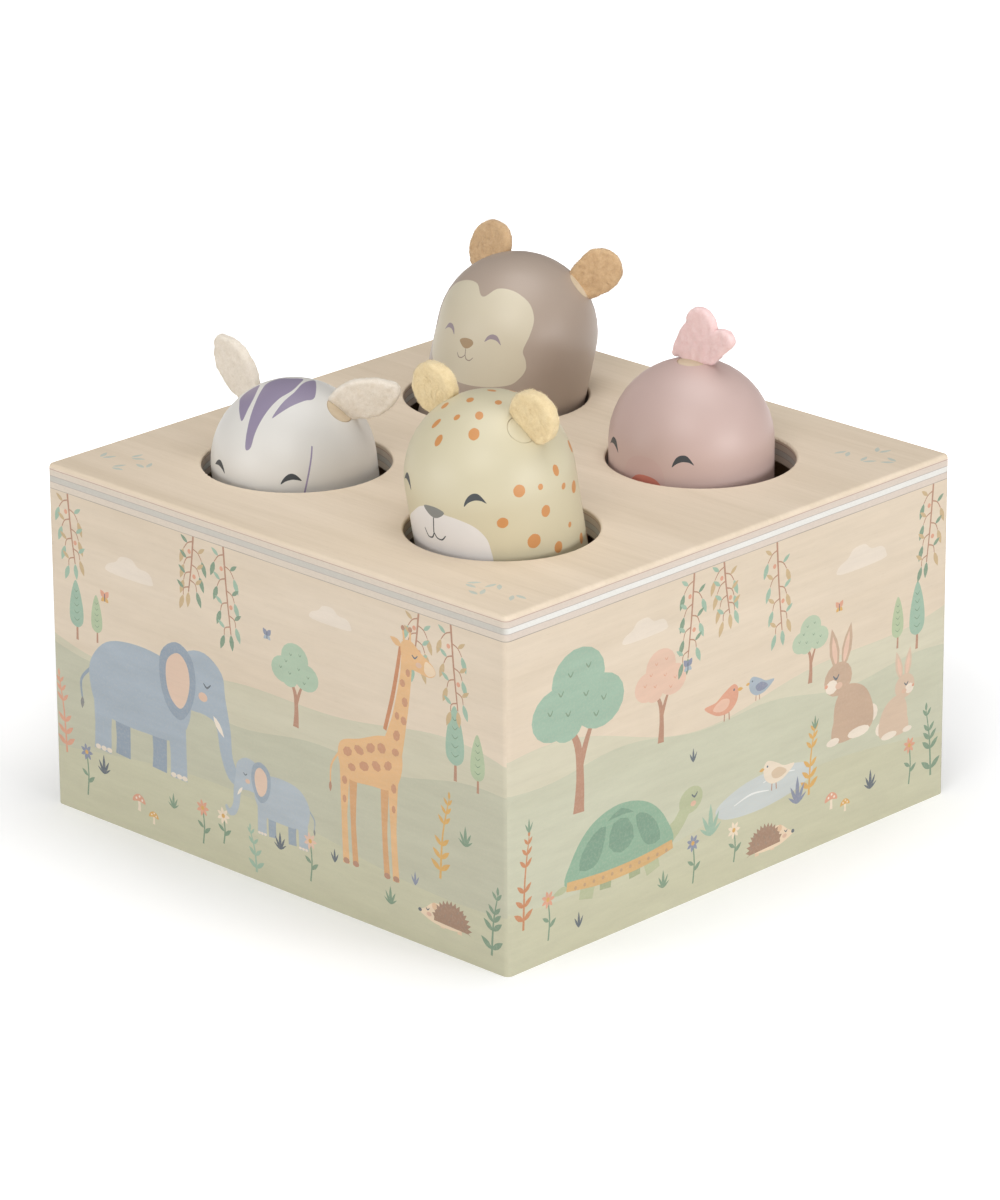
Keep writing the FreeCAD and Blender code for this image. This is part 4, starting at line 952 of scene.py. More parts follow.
def winding_tree():
    """Geometry nodes that wind a wire round a centre line, with flat end turns."""
    tree, given, result = effect(
        "wound_spring",
        (("Centre line", "Geometry"), ("Turns", "Float", TURNS), ("Closed turns", "Float", CLOSED_TURNS),
         ("Coil radius", "Float", COIL_RADIUS * MM), ("Wire", "Float", WIRE * MM),
         ("End gap", "Float", SPRING_GAP * MM), ("Foot spigot", "Float", (FOOT_SPIGOT + WIRE) * MM),
         ("Cap spigot", "Float", (CAP_SPIGOT + WIRE) * MM), ("Lean", "Vector", (0, 0, 1)),
         ("Finish", "Material")),
        (("Spring", "Geometry"),), "GeometryNodeTree")
    operations = ("ADD", "SUBTRACT", "MULTIPLY", "DIVIDE")
    plus, minus, times, over = (partial(maths, tree, operation) for operation in operations)
    line = wire(tree, "GeometryNodeMeshLine", {"Count": COIL_POINTS}).outputs[0]
    index = wire(tree, "GeometryNodeInputIndex").outputs[0]
    turn = times(over(index, COIL_POINTS - 1.0), given["Turns"])
    length = wire(tree, "GeometryNodeCurveLength", {0: given["Centre line"]}).outputs[0]
    free = minus(given["Turns"], times(given["Closed turns"], 2.0))
    opened = over(minus(turn, given["Closed turns"]), free, clamp=True)
    low_wound = maths(tree, "MINIMUM", turn, given["Closed turns"])
    past = minus(turn, minus(given["Turns"], given["Closed turns"]))
    wound = plus(low_wound, maths(tree, "MAXIMUM", past, 0.0))
    solid = times(given["Wire"], plus(times(given["Closed turns"], 2.0), 1.0))
    room = minus(minus(length, solid), times(given["End gap"], 2.0))
    height = plus(given["End gap"], times(given["Wire"], 0.5))
    height = plus(plus(height, times(given["Wire"], wound)), times(room, opened))
    sample = wire(tree, "GeometryNodeSampleCurve", {"Curves": given["Centre line"], "Length": height},
                  mode="LENGTH", use_all_curves=True)
    bent = minus(minus(length, given["Foot spigot"]), given["Cap spigot"])
    share = over(minus(height, given["Foot spigot"]), bent, clamp=True)
    way = wire(tree, "ShaderNodeMix", {0: share, 4: (0, 0, 1), 5: given["Lean"]},
               data_type="VECTOR").outputs[1]
    across = unit(tree, vectors(tree, "CROSS_PRODUCT", (0, 1, 0), way))
    back = unit(tree, vectors(tree, "CROSS_PRODUCT", way, across))
    angle = times(turn, 2 * math.pi)
    place = sample.outputs["Position"]
    for way, operation in ((across, "COSINE"), (back, "SINE")):
        reach = times(maths(tree, operation, angle), given["Coil radius"])
        step = wire(tree, "ShaderNodeVectorMath", {0: way, "Scale": reach}, operation="SCALE").outputs[0]
        place = vectors(tree, "ADD", place, step)
    wound_line = wire(tree, "GeometryNodeSetPosition", {"Geometry": line, "Position": place}).outputs[0]
    path = wire(tree, "GeometryNodeMeshToCurve", {0: wound_line}).outputs[0]
    section = {"Resolution": 14, "Radius": times(given["Wire"], 0.5)}
    end_growth(tree, result, "Spring", tube_along(tree, path, section), given["Finish"])
    return tree


def grown(holder, tree, values):
    """Mesh that a geometry nodes tree makes on an object; the object goes afterwards."""
    modifier = holder.modifiers.new("grow", "NODES")
    modifier.node_group = tree
    sockets = {item.name: item.identifier for item in tree.interface.items_tree if item.in_out == "INPUT"}
    for label, value in values.items():
        modifier[sockets[label]] = value
    evaluated = holder.evaluated_get(bpy.context.evaluated_depsgraph_get())
    mesh = bpy.data.meshes.new_from_object(evaluated)
    holder.modifiers.remove(modifier)
    bpy.data.objects.remove(holder)
    return mesh


spring_steel = metal("spring_steel", "#B9BBBD", 0.3, (2.0, 2.0, 14.0))
winding = winding_tree()
for animal in ANIMALS:
    line = centre_line(animal)
    curve = bpy.data.curves.new(animal + "_centre_line", "CURVE")
    curve.dimensions = "3D"
    spline = curve.splines.new("POLY")
    spline.points.add(len(line) - 1)
    for point, place in zip(spline.points, line):
        point.co = (*(place * MM), 1)
    holder = placed(animal + "_centre_line", curve)
    axis = stand_of(animal)[0]
    mesh = grown(holder, winding, {"Lean": axis, "Finish": spring_steel})
    mesh.name = animal + "_coil"
    coil = piece(animal + "_coil", mesh)
    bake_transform(coil)
    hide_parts(animal + "_spring")


# ---------------------------------------------------------------------------
# Figures
# Turned from one piece of beech, sprayed with a satin paint and printed with a face.
# Each is one skin, laid out flat from the top of its head, with a drilled hole for each
# piece of felt.
# ---------------------------------------------------------------------------

# Lengths in mm, from the centre of the dome to the foot, and angles in degrees.
RADIUS, FOOT_CHAMFER, HOLE_RADIUS, HOLE_DEPTH = 19.5, 1.2, 3.5, 8.0
EAR_TILT, SEAT_PLAY = 7, 0.1
QUARTER = RADIUS * math.pi / 2
TURN = {"zebra": 13.5, "leopard": 1.5, "flamingo": 4, "monkey": 5}
LENGTH = {"zebra": 43.5, "leopard": 57.3, "flamingo": 46.6, "monkey": 59.2}
# Felt pieces of each figure: name, side, angle down from the crown and way back from the side.
EARS = {"zebra": (("left_ear", -1, 42.5, 10), ("right_ear", 1, 42.5, 13)),
        "leopard": (("left_ear", -1, 38.5, -4), ("right_ear", 1, 40.5, 0)),
        "flamingo": (("comb", 0, 0, 0),),
        "monkey": (("left_ear", -1, 44, 6), ("right_ear", 1, 40.5, 26))}


def head_frame(animal):
    """Frame of a figure: origin at the centre of its domed head, face towards its own -Y."""
    axis, seat = stand_of(animal)
    upright = Vector((0, 0, 1)).rotation_difference(axis).to_matrix().to_4x4()
    turned = upright @ Matrix.Rotation(math.radians(TURN[animal]), 4, "Z")
    return Matrix.Translation(seat + axis * (SEAT_PLAY + LENGTH[animal])) @ turned


def ear_frame(side, angle, back):
    """Frame of an ear's hole in the figure's frame: on the dome, +Z out of the hole."""
    way = Matrix.Rotation(math.radians(side * back), 4, "Z")
    way = way @ Matrix.Rotation(math.radians(side * angle), 4, "Y")
    surface = way @ Vector((0, 0, RADIUS))
    tilt = EAR_TILT if side else 0
    return Matrix.Translation(surface) @ way @ Matrix.Rotation(math.radians(-tilt), 4, "X")


def ears_of(animal):
    return [(name, side, ear_frame(side, angle, back)) for name, side, angle, back in EARS[animal]]


def face(x, height):
    """Point of the laid out skin, by its way round from the middle of the face and its height."""
    angle = x / RADIUS
    down = RADIUS * math.acos(min(height / RADIUS, 1)) if height > 0 else QUARTER - height
    return Vector((down * math.sin(angle), -down * math.cos(angle)))


def lay_out(point):
    """Point of the laid out skin for a point on the dome or the straight body."""
    if point.z > 0:
        down = RADIUS * math.acos(min(point.z / point.length, 1))
    else:
        down = QUARTER - point.z
    flat = Vector((point.x, point.y)).normalized()
    return flat * down


def stand_up(flat, length):
    """Place and normal on the turned skin for a point that is laid out flat."""
    down = flat.length
    way = flat / down if down > 1e-9 else Vector((0, -1))
    straight = QUARTER + length - FOOT_CHAMFER
    if down <= QUARTER:
        angle = down / RADIUS
        normal = Vector((way.x * math.sin(angle), way.y * math.sin(angle), math.cos(angle)))
        return normal * RADIUS, normal
    if down <= straight + 1e-3:
        normal = Vector((way.x, way.y, 0))
        return normal * RADIUS - Vector((0, 0, down - QUARTER)), normal
    cut = (down - straight) / math.sqrt(2)
    normal = Vector((way.x, way.y, -1)).normalized()
    return (Vector((way.x, way.y, 0)) * (RADIUS - cut) - Vector((0, 0, length - FOOT_CHAMFER + cut)),
            normal)


def ring_of(radius, count):
    angles = [2 * math.pi * k / count for k in range(count)]
    return [Vector((radius * math.cos(a), radius * math.sin(a))) for a in angles]


def dome_reach(start, way):
    """How far the dome is from a point inside it."""
    half = start.dot(way)
    return -half + math.sqrt(half * half - start.dot(start) + RADIUS * RADIUS)


def out_of(ear):
    """Way out of an ear's hole."""
    return (ear.to_3x3() @ Vector((0, 0, 1))).normalized()


def drilled(ear):
    """The rim of a drilled hole on the dome, laid out flat."""
    bottom = [ear @ Vector((*point, -HOLE_DEPTH)) for point in ring_of(HOLE_RADIUS, 40)]
    return [lay_out(start + out_of(ear) * dome_reach(start, out_of(ear))) for start in bottom]


def boundary_loops(shell):
    """The open rims of a mesh, each as its own list of edges."""
    loops, seen = [], set()
    for first in [edge for edge in shell.edges if edge.is_boundary]:
        if first in seen:
            continue
        seen.add(first)
        found, front = [first], list(first.verts)
        while front:
            for edge in front.pop().link_edges:
                if edge.is_boundary and edge not in seen:
                    seen.add(edge)
                    found.append(edge)
                    front += list(edge.verts)
        loops.append(found)
    return loops


def skin_rings(length):
    """Circles of the laid out skin, as (distance from the crown, points), from the crown down."""
    body = length - FOOT_CHAMFER
    rings = [(1.2, 12), (2.8, 24), (4.6, 36), (6.6, 48), (8.8, 60), (11, 72), (13.4, 84)]
    rings += [(reach, 96) for reach in (16, 18.6, 21.2, 23.8, 26.4, 28.6, QUARTER)]
    rings += [(QUARTER + 2.6 * k, 96) for k in range(1, 8)]
    rings += [(QUARTER + share * (body - 18.2) + 18.2, 96) for share in (0.35, 0.7, 1.0)]
    return rings + [(QUARTER + body + FOOT_CHAMFER * math.sqrt(2), 96)]


def turned_figure(animal, shapes, material):
    """A figure's printed skin stood up from its flat pattern, with drilled holes and a flat foot."""
    length = LENGTH[animal]
    grounds = [ring_of(reach, count) for reach, count in reversed(skin_rings(length))]
    ears = [ear for _, _, ear in ears_of(animal)]
    base = [(ring, None) for ring in grounds[1:]]
    cuts = [(drilled(ear), None) for ear in ears]
    places, triangles, tops = cut_sheet(grounds[:1], base + list(shapes) + cuts)
    first_cut = len(base) + len(shapes)
    skin = bmesh.new()
    paint = skin.loops.layers.float_color.new("paint")
    where = skin.verts.layers.float_vector.new("place")
    verts, normals_at = {}, {}
    for triangle, top in zip(triangles, tops):
        if top >= first_cut:
            continue
        for index in triangle:
            if index not in verts:
                point, normal = stand_up(places[index], length)
                verts[index] = skin.verts.new(point)
                normals_at[verts[index]] = normal
        made = skin.faces.new([verts[index] for index in triangle])
        coat(made, paint, shapes[top - len(base)][1] if top >= len(base) else None)
    skin_faces = set(skin.faces)
    for edges in boundary_loops(skin):
        middle = sum((edge.verts[0].co for edge in edges), Vector()) / len(edges)
        fresh = new_verts(bmesh.ops.extrude_edge_only(skin, edges=edges))
        if middle.z < -length / 2:
            for vert in fresh:
                vert.co.x *= 0.5
                vert.co.y *= 0.5
        else:
            ear = min(ears, key=lambda e: (e.translation - middle).length)
            back = ear.inverted()
            for vert in fresh:
                local = back @ vert.co
                vert.co = ear @ Vector((local.x, local.y, -HOLE_DEPTH))
        open_edges = [edge for edge in skin.edges if edge.is_boundary and edge.verts[0] in fresh]
        bmesh.ops.holes_fill(skin, edges=open_edges, sides=0)
    for made in skin.faces:
        if made not in skin_faces:
            made.material_index = 1
            coat(made, paint)
    for vert in skin.verts:
        vert[where] = vert.co
    bmesh.ops.recalc_face_normals(skin, faces=skin.faces)
    turn = head_frame(animal)
    normals = []
    for made in skin.faces:
        for loop in made.loops:
            chosen = normals_at[loop.vert] if made in skin_faces else made.normal
            normals.append((turn.to_3x3() @ chosen).normalized())
    mesh = finished_mesh(skin, animal + "_painted_figure", turn)
    made = piece(animal + "_painted_figure", mesh, material)
    mesh.normals_split_custom_set(normals)
    return made


def satin_paint(name, base, seed):
    """Sprayed satin paint over turned wood, with its print, and faint rings from the lathe."""
    made, tree, shader = finish_coat(name)
    place = attribute(tree, "place")["Vector"]
    shifted = vectors(tree, "ADD", place, (seed * 50, 0, 0))
    drift = spread(tree, shifted, (0.06, 0.06, 0.06), 3.0)
    speck = spread(tree, shifted, (3.0, 3.0, 3.0), 2.0)
    rings = spread(tree, place, (0.02, 0.02, 2.2), 2.0, 0.6)
    paint = attribute(tree, "paint")
    layered = mixed(tree, paint["Alpha"], colour(base), paint["Color"])
    tinted = lightened(tree, layered, between(tree, drift, 0.3, 0.7, 0.975, 1.02))
    join(tree, shader, {"Base Color": tinted, "Roughness": between(tree, speck, 0.0, 1.0, 0.36, 0.5)})
    bump(tree, shader, weighted(tree, (rings, 0.5), (speck, 0.5)), 0.12, 0.05)
    return made


def local_wood(name, pale, dark):
    """Bare wood of a figure, its grain along the figure's own axis."""
    made, tree, shader = finish_coat(name, roughness=0.65)
    place = attribute(tree, "place")["Vector"]
    turned = wire(tree, "ShaderNodeMapping", {"Vector": place, "Rotation": UPRIGHT_GRAIN}).outputs[0]
    grain = use_effect(tree, WOOD, place=turned, pale=colour(pale), dark=colour(dark))
    join(tree, shader, {"Base Color": grain["Colour"]})
    bump(tree, shader, grain["Height"], 0.3, 0.05)
    return made


EYES, MAUVE, STRIPE, SPOT, SMILE = "#3F4347", "#9A8C92", "#9489A0", "#CC8F57", "#9C8C7E"


def on_face(outline, ink):
    """Shape drawn on the face, by its way round from the middle and its height."""
    return ([face(*point) for point in outline], ink)


def eyes(outline, middle, rise, ink=EYES):
    """Two closed, smiling eyes: a crescent, and its mirror image shifted and raised."""
    other = [(middle - x, y + rise) for x, y in outline]
    return [on_face(smooth(points, 4), ink) for points in (outline, other)]


def face_line(points, widths, ink=EYES):
    return on_face(ribbon(points, widths, 4), ink)


zebra_face = [
    (smooth(((-9.7, -6.4), (-11.3, -3.4), (-10.6, -0.6), (-8.8, 1.1), (-7.7, 0.8),
             (-5.8, -4.4), (-5.4, -8.9), (-5.8, -12.1), (-8.1, -9.2)), 4), STRIPE),
    (smooth(((-1.5, -19.2), (-2.4, -18.4), (-3.2, -13.6), (-4.1, -7.4), (-5.1, -2.5),
             (-5.8, 1.3), (-4.4, 4.6), (-1.3, 5.3), (1.0, 6.6), (2.2, 3.2), (2.6, -0.9),
             (1.4, -4.5), (0.6, -8.0), (-0.1, -12.3), (-0.4, -15.2), (-0.5, -18.2)), 4), STRIPE),
    (smooth(((2.5, -10.4), (2.6, -7.8), (2.9, -4.8), (3.4, -1.0), (2.8, 3.3),
             (2.7, 6.1), (3.3, 8.5), (8.0, 0.7), (6.9, -2.3), (5.3, -5.4), (3.7, -8.5)), 4), STRIPE),
    *eyes([(8.2, 4.1), (8.7, 5.1), (9.7, 6.0), (10.9, 6.4), (12.2, 5.9), (13.3, 4.5),
           (12.2, 4.8), (10.9, 5.0), (9.4, 4.7)], 0.2, -0.1),
    face_line([(17.7, 11.2), (15.4, 6.3), (13.4, 1.0), (12.8, -2.0)], (0.42, 0.42, 0.42, 0.42), "#9C90AC")]

leopard_face = [
    on_face(smooth(((-13.0, -11.5), (-12.4, -6.4), (-8.3, -2.8), (-2.6, 0.9),
                    (3.4, 0.0), (6.8, -0.8), (10.2, -2.5), (12.4, -5.2), (13.2, -8.2),
                    (13.0, -14), (8, -19), (0, -21), (-9, -18.5)), 5), "#E4E0DD"),
    *eyes([(8.7, 2.5), (9.1, 3.8), (10.1, 5.0), (11.4, 5.5), (12.7, 5.0), (14.0, 3.0),
           (12.8, 3.7), (11.3, 3.9), (9.8, 3.4)], 0.9, 0.3),
    on_face(smooth(((-2.5, 1.1), (0.9, 1.5), (3.4, 0.6), (2.3, -0.7), (0.4, -1.4), (-1.3, -0.7)), 4),
            "#848582"),
    face_line([(0.1, -1.4), (-0.3, -3.5), (-0.6, -5.4)], (0.3, 0.3, 0.3)),
    face_line([(-3.6, -5.0), (-2.7, -6.9), (-1.3, -6.8), (-0.5, -5.4)], (0.24, 0.36, 0.36, 0.3)),
    face_line([(-0.5, -5.4), (0.2, -6.6), (1.6, -6.8), (2.8, -5.6)], (0.3, 0.36, 0.36, 0.24))]
for x, y, wide, tall in (
        (23.8, -11.4, 2.9, 3.0), (25.1, -21.4, 2.7, 2.7), (36.9, -14.4, 3.4, 3.6), (43.8, -2.6, 2.5, 2.9),
        (33.2, -5.3, 2.5, 3.0), (27.0, -4.6, 1.4, 1.5), (25.8, 3.4, 2.0, 2.8), (30.3, 14.5, 3.0, 3.0),
        (30.1, 5.9, 1.7, 1.6), (39.9, 7.9, 1.3, 1.4), (42.6, 19.3, 2.2, 2.8), (19.4, 17.5, 2.6, 3.2),
        (6.6, -9.3, 2.6, 3.2), (4.5, -4.6, 1.9, 2.6), (-1.4, -13.9, 1.9, 3.0), (-5.1, -9.8, 1.7, 2.9),
        (-0.1, -7.3, 1.5, 1.8), (-7.1, -3.9, 2.6, 2.0), (-1.2, -1.2, 2.2, 1.8), (-0.7, 5.5, 2.4, 1.6),
        (4.8, 1.7, 1.9, 1.6), (0.7, 11.1, 2.0, 1.4), (-7.5, 9.5, 2.4, 2.0), (10.5, 18.0, 2.4, 2.0),
        (-3.5, 19.0, 2.6, 2.2), (-19.5, 15.0, 2.5, 3.0), (-25.5, 5.0, 2.2, 2.8), (-27.5, -3.5, 1.6, 1.6),
        (-24.2, -11.0, 2.9, 2.9), (-33.6, -6.0, 2.5, 3.0), (-36.5, -15.4, 3.2, 3.4),
        (-31.0, 13.5, 3.0, 3.0),
        (-43.5, -1.6, 2.5, 2.8), (-40.2, 9.0, 1.6, 1.6), (-13.0, 22.5, 2.4, 2.4), (3.0, 27.5, 2.6, 2.6),
        (17.5, 27.0, 2.6, 2.8), (-10.0, 32.5, 2.8, 2.8), (10.5, 35.5, 2.4, 2.6), (-24.5, 28.0, 2.6, 2.6),
        (28.0, 31.0, 2.6, 2.6), (-2.5, 41.5, 2.8, 2.8), (20.5, 42.0, 2.4, 2.4), (-19.5, 42.5, 2.6, 2.6),
        (36.5, 33.5, 2.2, 2.4), (-37.0, 24.0, 2.4, 2.4)):
    around, down = math.degrees(math.atan2(y, x)), Vector((x, y)).length
    stretch = max(down / (RADIUS * math.sin(min(down / RADIUS, math.pi / 2))), 1)
    spot = oval(x, y, tall / 2, wide / 2 * stretch, around, 12)
    leopard_face.append((smooth(spot[::2], 3), SPOT))

flamingo_face = [
    on_face(smooth(((-6.4, -8), (-5.0, -3.6), (-3.4, -0.6), (-0.7, 1.0), (2.2, 1.2),
                    (4.6, 0.4), (6.2, -1.6), (6.8, -5.0), (6.2, -9.5), (0, -12)), 5), "#C8ACA6"),
    on_face(smooth(((-4.6, -7.5), (-2.3, -4.9), (-0.3, -3.5), (2.6, -3.4), (5.0, -4.3),
                    (6.6, -7.0), (5.0, -11), (1.0, -13), (-3.0, -11)), 5), "#CA7C6B"),
    *eyes([(8.5, -0.4), (8.9, 0.9), (9.7, 2.1), (10.9, 2.6), (12.2, 2.3), (13.7, 0.3),
           (12.5, 0.9), (10.9, 1.0), (9.5, 0.4)], 0.8, 0.2)]

monkey_face = [
    on_face(smooth(((-13.6, 9.6), (-9.1, 11.3), (-4.0, 11.5), (0.3, 9.4), (3.2, 11.9),
                    (7.0, 12.5), (10.8, 12.0), (14.2, 10.4), (15.8, 7.4), (15.4, 3.6),
                    (14.5, -0.3), (15.6, -2.5), (16.1, -4.8), (14.9, -7.4), (12.6, -9.4),
                    (6.5, -11.2), (0.5, -11.8), (-6, -11.2), (-12.6, -9.4), (-15.4, -6.6),
                    (-15.8, -3.6), (-14.4, -0.2), (-15.4, 3.8), (-15.6, 7.4)), 5), "#D2C8B1"),
    *eyes([(4.9, -0.4), (5.3, 0.9), (6.1, 1.7), (7.0, 1.9), (8.0, 1.5), (9.1, -0.2),
           (8.0, 0.5), (7.0, 0.7), (6.0, 0.5)], 0.6, -0.9, MAUVE),
    on_face(smooth(((-2.0, -1.9), (-0.6, -1.0), (1.4, -0.9), (2.1, -1.7), (1.3, -2.9),
                    (0.1, -3.4), (-1.0, -3.0)), 4), "#A68B68"),
    face_line([(0.3, -3.4), (0.5, -4.9)], (0.22, 0.22), SMILE),
    face_line([(-2.0, -5.0), (-1.3, -5.9), (-0.3, -5.8), (0.5, -4.9)], (0.15, 0.28, 0.28, 0.22), SMILE),
    face_line([(0.5, -4.9), (1.0, -5.8), (2.0, -5.9), (2.8, -5.0)], (0.22, 0.28, 0.28, 0.15), SMILE)]

bare_end = local_wood("bare_figure_wood", "#E2CCAC", "#CDAF86")
for seed, (animal, base, shapes) in enumerate((
        ("zebra", "#DFDCD6", zebra_face), ("leopard", "#D1C8AB", leopard_face),
        ("flamingo", "#C9B0A9", flamingo_face), ("monkey", "#AE9D8F", monkey_face))):
    figure = turned_figure(animal, shapes, [satin_paint(animal + "_satin_paint", base, seed), bare_end])
    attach(figure, animal)
    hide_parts(animal + "_figure")


# ---------------------------------------------------------------------------
# Ears and comb
# Thick wool felt, cut to shape and pushed into the drilled hole, where a wooden dowel
# with a flat side wedges it. The cut felt is fuzzy all over.
# ---------------------------------------------------------------------------

def fuzz_tree():
    """Geometry nodes that lay short bent fibres all over a felt piece."""
    tree, given, result = effect(
        "felt_fibres",
        (("Felt", "Geometry"), ("Fibres", "Float", 40.0), ("Length", "Float", 1.0 * MM),
         ("Thickness", "Float", 0.016 * MM), ("Rise", "Float", 0.4), ("Dome centre", "Vector"),
         ("Dome", "Float", RADIUS * MM), ("Seed", "Int", 1), ("Finish", "Material")),
        (("Fuzzy felt", "Geometry"),), "GeometryNodeTree")
    place = wire(tree, "GeometryNodeInputPosition").outputs[0]
    reach = wire(tree, "ShaderNodeVectorMath", {0: place, 1: given["Dome centre"]},
                 operation="DISTANCE").outputs[1]
    outside = maths(tree, "GREATER_THAN", reach, given["Dome"])
    density = maths(tree, "MULTIPLY", given["Fibres"], 1e5)
    scatter = wire(tree, "GeometryNodeDistributePointsOnFaces",
                   {"Mesh": given["Felt"], "Selection": outside, "Density": density, "Seed": given["Seed"]})
    half = maths(tree, "MULTIPLY", given["Length"], 0.5)
    bow = vector_of(tree, 0.0, 0.0, maths(tree, "MULTIPLY", given["Length"], given["Rise"]))
    start = vector_of(tree, maths(tree, "MULTIPLY", half, -1.0), 0.0, 0.0)
    end = vector_of(tree, half, maths(tree, "MULTIPLY", half, 0.4), 0.0)
    strand = wire(tree, "GeometryNodeCurveQuadraticBezier",
                  {"Resolution": 4, "Start": start, "Middle": bow, "End": end}).outputs[0]
    hair = tube_along(tree, strand, {"Resolution": 3, "Radius": given["Thickness"]})
    spin, tilt, grow = (
        wire(tree, "FunctionNodeRandomValue", {2: least, 3: most, "Seed": seed},
             data_type="FLOAT").outputs[1]
        for least, most, seed in ((0.0, 2 * math.pi, given["Seed"]), (-0.5, 0.5, 7), (0.55, 1.2, 3)))
    swing = wire(tree, "FunctionNodeEulerToRotation", {0: vector_of(tree, tilt, tilt, spin)}).outputs[0]
    turn = wire(tree, "FunctionNodeRotateRotation", {0: scatter.outputs["Rotation"], 1: swing},
                rotation_space="LOCAL").outputs[0]
    fibres = {"Points": scatter.outputs["Points"], "Instance": hair, "Rotation": turn, "Scale": grow}
    laid = wire(tree, "GeometryNodeInstanceOnPoints", fibres).outputs[0]
    both = wire(tree, "GeometryNodeJoinGeometry")
    tree.links.new(given["Felt"], both.inputs[0])
    tree.links.new(laid, both.inputs[0])
    end_growth(tree, result, "Fuzzy felt", both.outputs[0], given["Finish"])
    return tree


def felt(name, pale, dark):
    """Matted wool: cloudy in tone, with the fine shine of standing fibres."""
    made, tree, shader = finish_coat(name, roughness=0.95, sheen_weight=0.35, sheen_roughness=0.5)
    place = place_of(tree)
    cloud = spread(tree, place, (0.8, 0.8, 0.8), 4.0, 0.65)
    matted = spread(tree, place, (2.6, 2.6, 2.6), 3.0, 0.7, 1.5)
    tone = between(tree, weighted(tree, (cloud, 0.35), (matted, 0.65)), 0.35, 0.62)
    join(tree, shader, {"Base Color": mixed(tree, tone, colour(dark), colour(pale))})
    bump(tree, shader, matted, 0.5, 0.12)
    return made


# All in mm: the felt's mesh, how far it swells unevenly, and how far it sinks on to the head
# within SETTLES of the dome.
FELT_MESH, SWELLS, SINKS, SETTLES = 0.32, 0.5, 0.62, 1.6


def soft_blank(node, centre):
    """Evenly meshed copy of a felt node, soft at the edges, that settles on the head below it."""
    mesh = nodes[node].data.copy()
    mesh.materials.clear()
    shell = bmesh.new()
    shell.from_mesh(mesh)
    bmesh.ops.remove_doubles(shell, verts=shell.verts, dist=1e-6)
    shell.to_mesh(mesh)
    shell.free()
    holder = placed(node + "_blank", mesh)
    remesh = holder.modifiers.new("even", "REMESH")
    remesh.mode, remesh.voxel_size = "VOXEL", FELT_MESH * MM
    relax = holder.modifiers.new("soft", "SMOOTH")
    relax.factor, relax.iterations = 0.5, 34
    uneven = bpy.data.textures.new(node + "_uneven", "CLOUDS")
    uneven.noise_scale = 2.2 * MM
    push = holder.modifiers.new("uneven", "DISPLACE")
    push.texture, push.texture_coords = uneven, "LOCAL"
    push.strength, push.mid_level = SWELLS * MM, 0.0
    evaluated = holder.evaluated_get(bpy.context.evaluated_depsgraph_get())
    blank = bpy.data.meshes.new_from_object(evaluated)
    bpy.data.objects.remove(holder)
    for vert in blank.vertices:
        way = vert.co - centre
        above = way.length / MM - RADIUS
        share = 1 - above / SETTLES if above > 0 else 1 + above / (2 * SETTLES)
        vert.co -= way.normalized() * (SINKS * MM * max(share, 0.0))
    return blank


PLUG_RADIUS, PLUG_FLAT, PLUG_DEPTH = 3.46, 0.36, 7.96


def level_plug(node, ear, head, finish):
    """D shaped dowel whose end is sanded to the curve of the head round it."""
    half = math.acos(PLUG_FLAT / PLUG_RADIUS)
    arc = [math.pi / 2 + half + (2 * math.pi - 2 * half) * k / 28 for k in range(29)]
    outline = [Vector((PLUG_RADIUS * math.cos(a), PLUG_RADIUS * math.sin(a))) for a in arc]
    outline += [outline[-1].lerp(outline[0], k / 8) for k in range(1, 8)]
    middle = Vector((0, -1.2))
    way = out_of(ear)
    dowel = bmesh.new()
    rings = []
    # The end's rings, each with its share of the outline and its depth below the dome.
    for share, sunk in ((0.02, 0), (0.35, 0), (0.65, 0), (0.86, 0), (0.95, 0.02), (1.0, 0.25)):
        feet = [ear @ Vector((*middle.lerp(point, share), -PLUG_DEPTH)) for point in outline]
        rings.append([dowel.verts.new(foot + way * (dome_reach(foot, way) - sunk)) for foot in feet])
    rings.append([dowel.verts.new(ear @ Vector((*point, -PLUG_DEPTH))) for point in outline])
    dowel.faces.new(rings[0])
    dowel.faces.new(rings[-1])
    for inner, outer in zip(rings, rings[1:]):
        for k in range(len(outline)):
            after = (k + 1) % len(outline)
            dowel.faces.new((inner[k], inner[after], outer[after], outer[k]))
    where = dowel.verts.layers.float_vector.new("place")
    paint = dowel.loops.layers.float_color.new("paint")
    for vert in dowel.verts:
        vert[where] = vert.co
    for made in dowel.faces:
        coat(made, paint)
    bmesh.ops.recalc_face_normals(dowel, faces=dowel.faces)
    mesh = finished_mesh(dowel, node + "_dowel", head)
    made = piece(node + "_dowel", mesh, [finish])
    mesh.set_sharp_from_angle(angle=math.radians(40))
    return made


